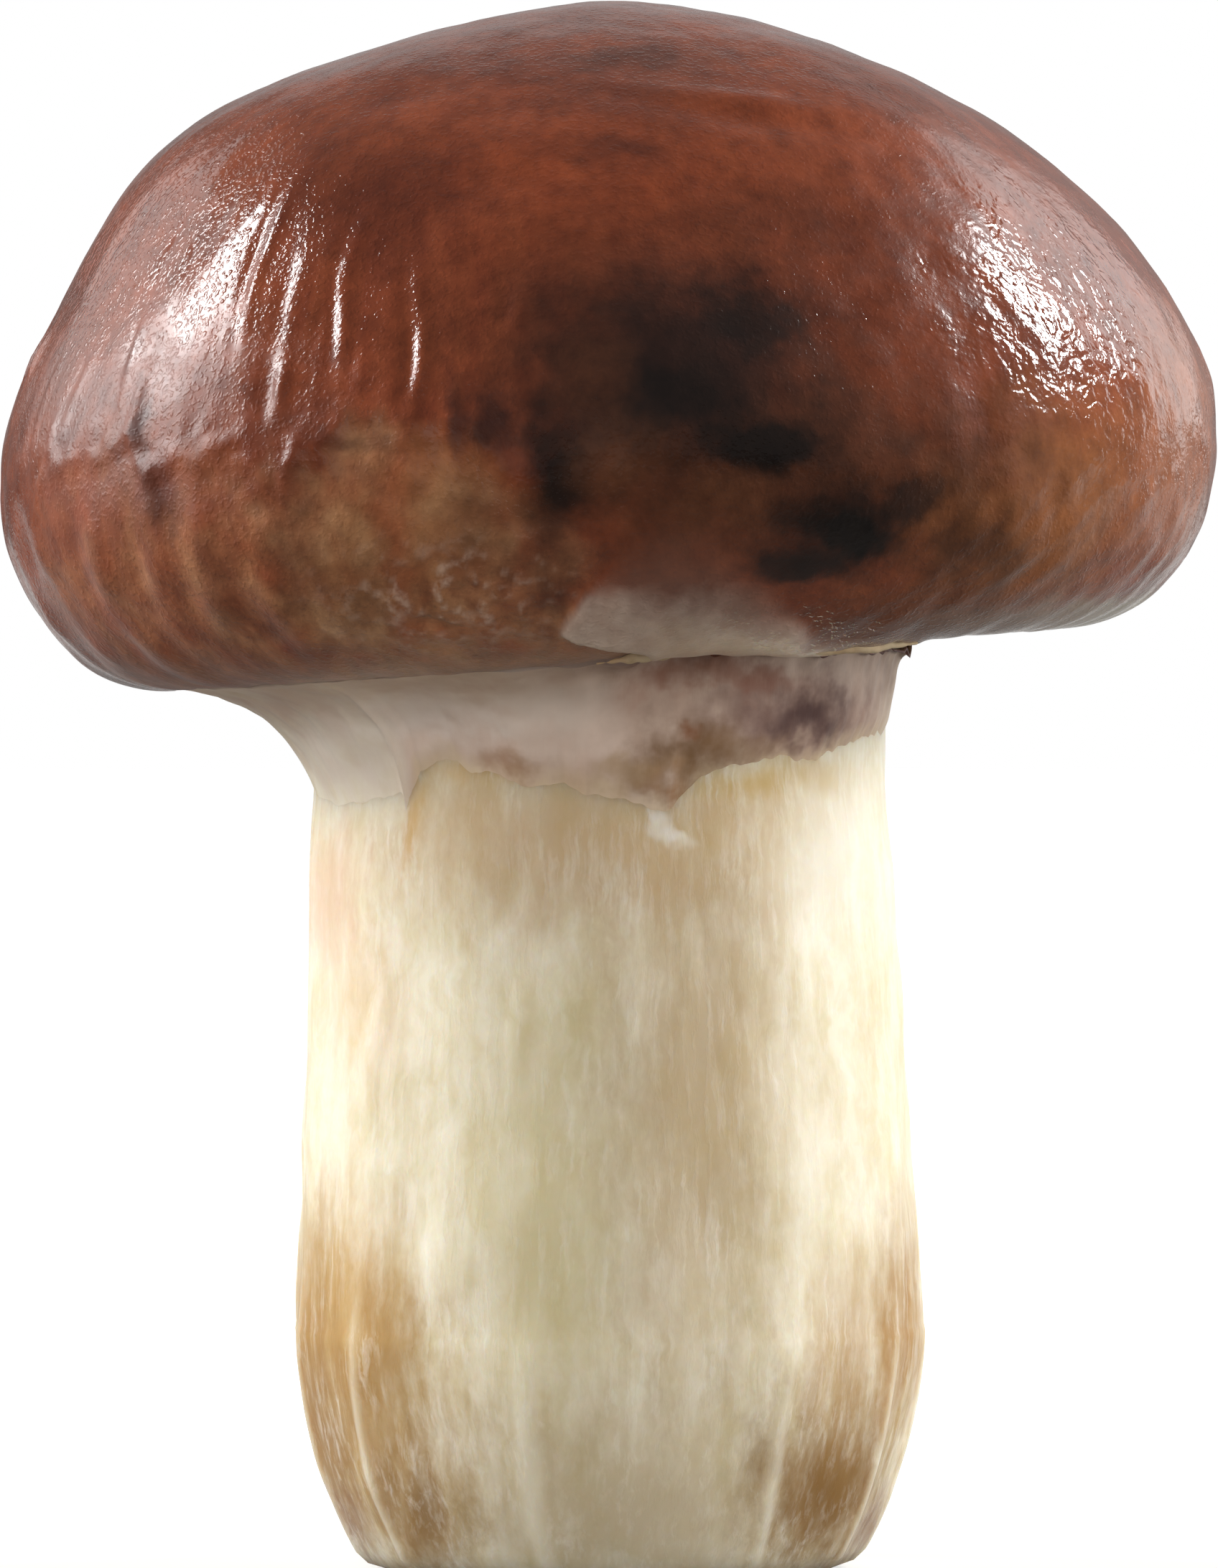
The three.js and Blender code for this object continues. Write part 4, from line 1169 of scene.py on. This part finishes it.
painted = pore_node("GeometryNodeSetMaterial", {"Geometry": whole, "Material": takes["Material"]})[0]
pore_tree.links.new(painted, gives["Geometry"])
print("whole tree of the pores:", len(pore_tree.nodes), "nodes")

# %% Grow the pores
PORE_PITCH, PORE_DEPTH, PORE_SHIFT, PORE_MARGIN = 0.58, 0.5, 0.06, 0.25
low_by = TUBE_FACE * MM
pores = grown("tube_pores", pore_tree, {
    "Pitch": PORE_PITCH * MM, "Depth": PORE_DEPTH * MM, "Shift": PORE_SHIFT * MM, "Crown": TUBE_CROWN * MM,
    "Inner": (TUBE_INNER + PORE_MARGIN) * MM, "Outer": (TUBE_OUTER - PORE_MARGIN) * MM,
    "Columns": 61, "Rows": 36,
    "Lift": (-low_by * math.sin(CAP_TILT), 0, CAP_HEIGHT * MM + low_by * math.cos(CAP_TILT)),
    "Turn": (0, -CAP_TILT, 0), "Seed": 3, "Material": spongy.material})
measured(pores)

# %% [markdown]
# ## Onto the frame
# Nothing on a mushroom moves, so every piece rides on the one body. Four of them stand in for a solid each.
# The fringe and the pores come on top.

# %% Pieces on the frame
DRESS = [
    (cap, "cap", "cap_skin"), (stem, "stem", "stem_flesh"), (veil, "veil", "veil"),
    (bed, "tube_layer", "tubes"), (fringe, None, "veil"), (pores, None, "tubes"),
]
for piece, node, slot in DRESS:
    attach(piece, "root")
    if node:
        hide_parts(node)
print(len(DRESS), "pieces ride on the frame")

# %% [markdown]
# ## Floor and light
# White paper, a lamp with a soft face on each side, weaker ones behind for the rims, and a dim room. Washes
# and a fill light the flesh without being mirrored in the slime. The camera sees the floor as white, while
# the mushroom mirrors a dark one, so that the cap's middle stays dark and only its flanks shine. From below
# the floor can be looked through, and a faint glow under the foot keeps the cut from going black.

# %% Floor
FLOOR_REACH = 2.0
FLOOR_GAP = 0.05
GLOW_INNER, GLOW_OUTER = 0.008, 0.009
sides = ((-1, -1), (1, -1), (1, 1), (-1, 1))
corners = [(FLOOR_REACH * x, FLOOR_REACH * y, -FLOOR_GAP * MM) for x, y in sides]
floor_mesh = bpy.data.meshes.new("floor")
floor_mesh.from_pydata(corners, [], [(0, 1, 2, 3)])
floor = bpy.data.objects.new("floor", floor_mesh)
bpy.context.scene.collection.objects.link(floor)
paper = Finish("paper", Roughness=0.8, Emission_Strength=1.0)
axes = paper.add("ShaderNodeSeparateXYZ", {0: paper.place}).outputs
behind = paper.times(paper.ramp(axes["Y"], 0.0, 0.3), paper.ramp(axes["Y"], 0.7, 1.1, 1, 0))
beside = paper.times(paper.ramp(axes["X"], -0.45, -0.1), paper.ramp(axes["X"], 0.3, 0.7, 1, 0))
away = paper.add("ShaderNodeVectorMath", {0: paper.place}, operation="LENGTH").outputs["Value"]
mirrored_glow = paper.blend(paper.times(behind, beside), "000000", "c0bfbd")
mirrored_glow = paper.blend(paper.ramp(away, GLOW_INNER, GLOW_OUTER, 1, 0), mirrored_glow, "b4b3b1")
shown_glow = paper.blend(paper.ramp(away, 0.03, 0.09), "d8d7d5", "ffffff")
mirrored_base = paper.blend(paper.ramp(away, 0.04, 0.12, 1, 0), "3c3b3a", "585553")
shown_base = paper.blend(paper.cloud(300), "a09e9b", "a6a4a1")
seen = paper.add("ShaderNodeLightPath").outputs["Is Camera Ray"]
floor_mesh.materials.append(paper.into(Base_Color=paper.blend(seen, mirrored_base, shown_base),
                                       Emission_Color=paper.blend(seen, mirrored_glow, shown_glow)))
from_below = paper.add("ShaderNodeNewGeometry").outputs["Backfacing"]
see_through = paper.add("ShaderNodeMixShader", {0: from_below, 1: paper.shader.outputs[0],
                                                2: paper.add("ShaderNodeBsdfTransparent").outputs[0]})
paper.tree.links.new(see_through.outputs[0], paper.tree.nodes["Material Output"].inputs["Surface"])
floor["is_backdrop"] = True
print("floor of", 2 * FLOOR_REACH, "m")

# %% Lamps
LIT = Vector((0, 0, 0.04))
# Name, place, width, height and power of each lamp, and whether the mushroom mirrors it.
LAMPS = [
    ("left lamp", (-0.6, 0.2, 0.38), 0.18, 0.36, 2.7, True),
    ("right lamp", (0.6, 0.24, 0.46), 0.16, 0.26, 3.1, True),
    ("left wash", (-0.6, 0.1, 0.28), 0.3, 0.4, 3.4, False),
    ("right wash", (0.62, 0.0, 0.2), 0.3, 0.4, 3.8, False),
    ("left rim", (-0.6, 0.7, 0.42), 0.4, 0.4, 0.5, True),
    ("right rim", (0.62, 0.7, 0.38), 0.4, 0.7, 1.35, True),
    ("back glow", (0.15, 0.85, 0.3), 0.7, 0.6, 0.22, True),
    ("front fill", (-0.2, -0.78, 0.14), 0.5, 0.3, 3.6, False),
]
for name, place, wide, high, power, mirrored in LAMPS:
    light = bpy.data.lights.new(name, "AREA")
    light.shape, light.size, light.size_y, light.energy = "RECTANGLE", wide, high, power
    holder = bpy.data.objects.new(name, light)
    holder.location = place
    holder.rotation_euler = (LIT - Vector(place)).to_track_quat("-Z", "Y").to_euler()
    holder.visible_camera, holder.visible_glossy = False, mirrored
    bpy.context.scene.collection.objects.link(holder)
print(len(LAMPS), "lamps,", round(sum(row[4] for row in LAMPS), 2), "W in all")

# %% Room
world = bpy.data.worlds.new("room")
bpy.context.scene.world = world
world.use_nodes = True
seen = add(world.node_tree, "ShaderNodeLightPath").outputs["Is Camera Ray"]
bright = add(world.node_tree, "ShaderNodeMapRange", {"Value": seen, "To Min": 0.1, "To Max": 1.0})
backdrop = world.node_tree.nodes["Background"].inputs
world.node_tree.links.new(bright.outputs["Result"], backdrop["Strength"])
backdrop["Color"].default_value = (1, 1, 1, 1)
bpy.context.scene.view_settings.view_transform = "Standard"
print("room:", len(world.node_tree.nodes), "nodes")

# %% [markdown]
# ## Camera
# The reference view is nearly level and from far away, so that the round cap and the flat foot look as in a
# drawing. A short lens close by would bulge the cap. The lens follows from the height that fills the picture.

# %% Camera
FRAME_HEIGHT = 64.6 * MM
AWAY = 0.6
LOOK_DOWN = math.radians(1)
low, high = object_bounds()
aim = Vector(((low[0] + high[0]) / 2, (low[1] + high[1]) / 2, (low[2] + high[2]) / 2))
camera = bpy.data.cameras.new("camera")
camera.sensor_fit, camera.sensor_height = "VERTICAL", 24
camera.lens = camera.sensor_height * AWAY / FRAME_HEIGHT
viewer = bpy.data.objects.new("camera", camera)
viewer.location = aim + AWAY * Vector((0, -math.cos(LOOK_DOWN), math.sin(LOOK_DOWN)))
viewer.rotation_euler = (aim - viewer.location).to_track_quat("-Z", "Y").to_euler()
bpy.context.scene.collection.objects.link(viewer)
bpy.context.scene.camera = viewer
print(f"camera {AWAY} m away with a lens of {camera.lens:.0f} mm")

# %% [markdown]
# ## Count of pieces
# The number of pieces that ride on the frame is printed.

# %% Count of pieces
print("handing over", len(DRESS), "pieces")
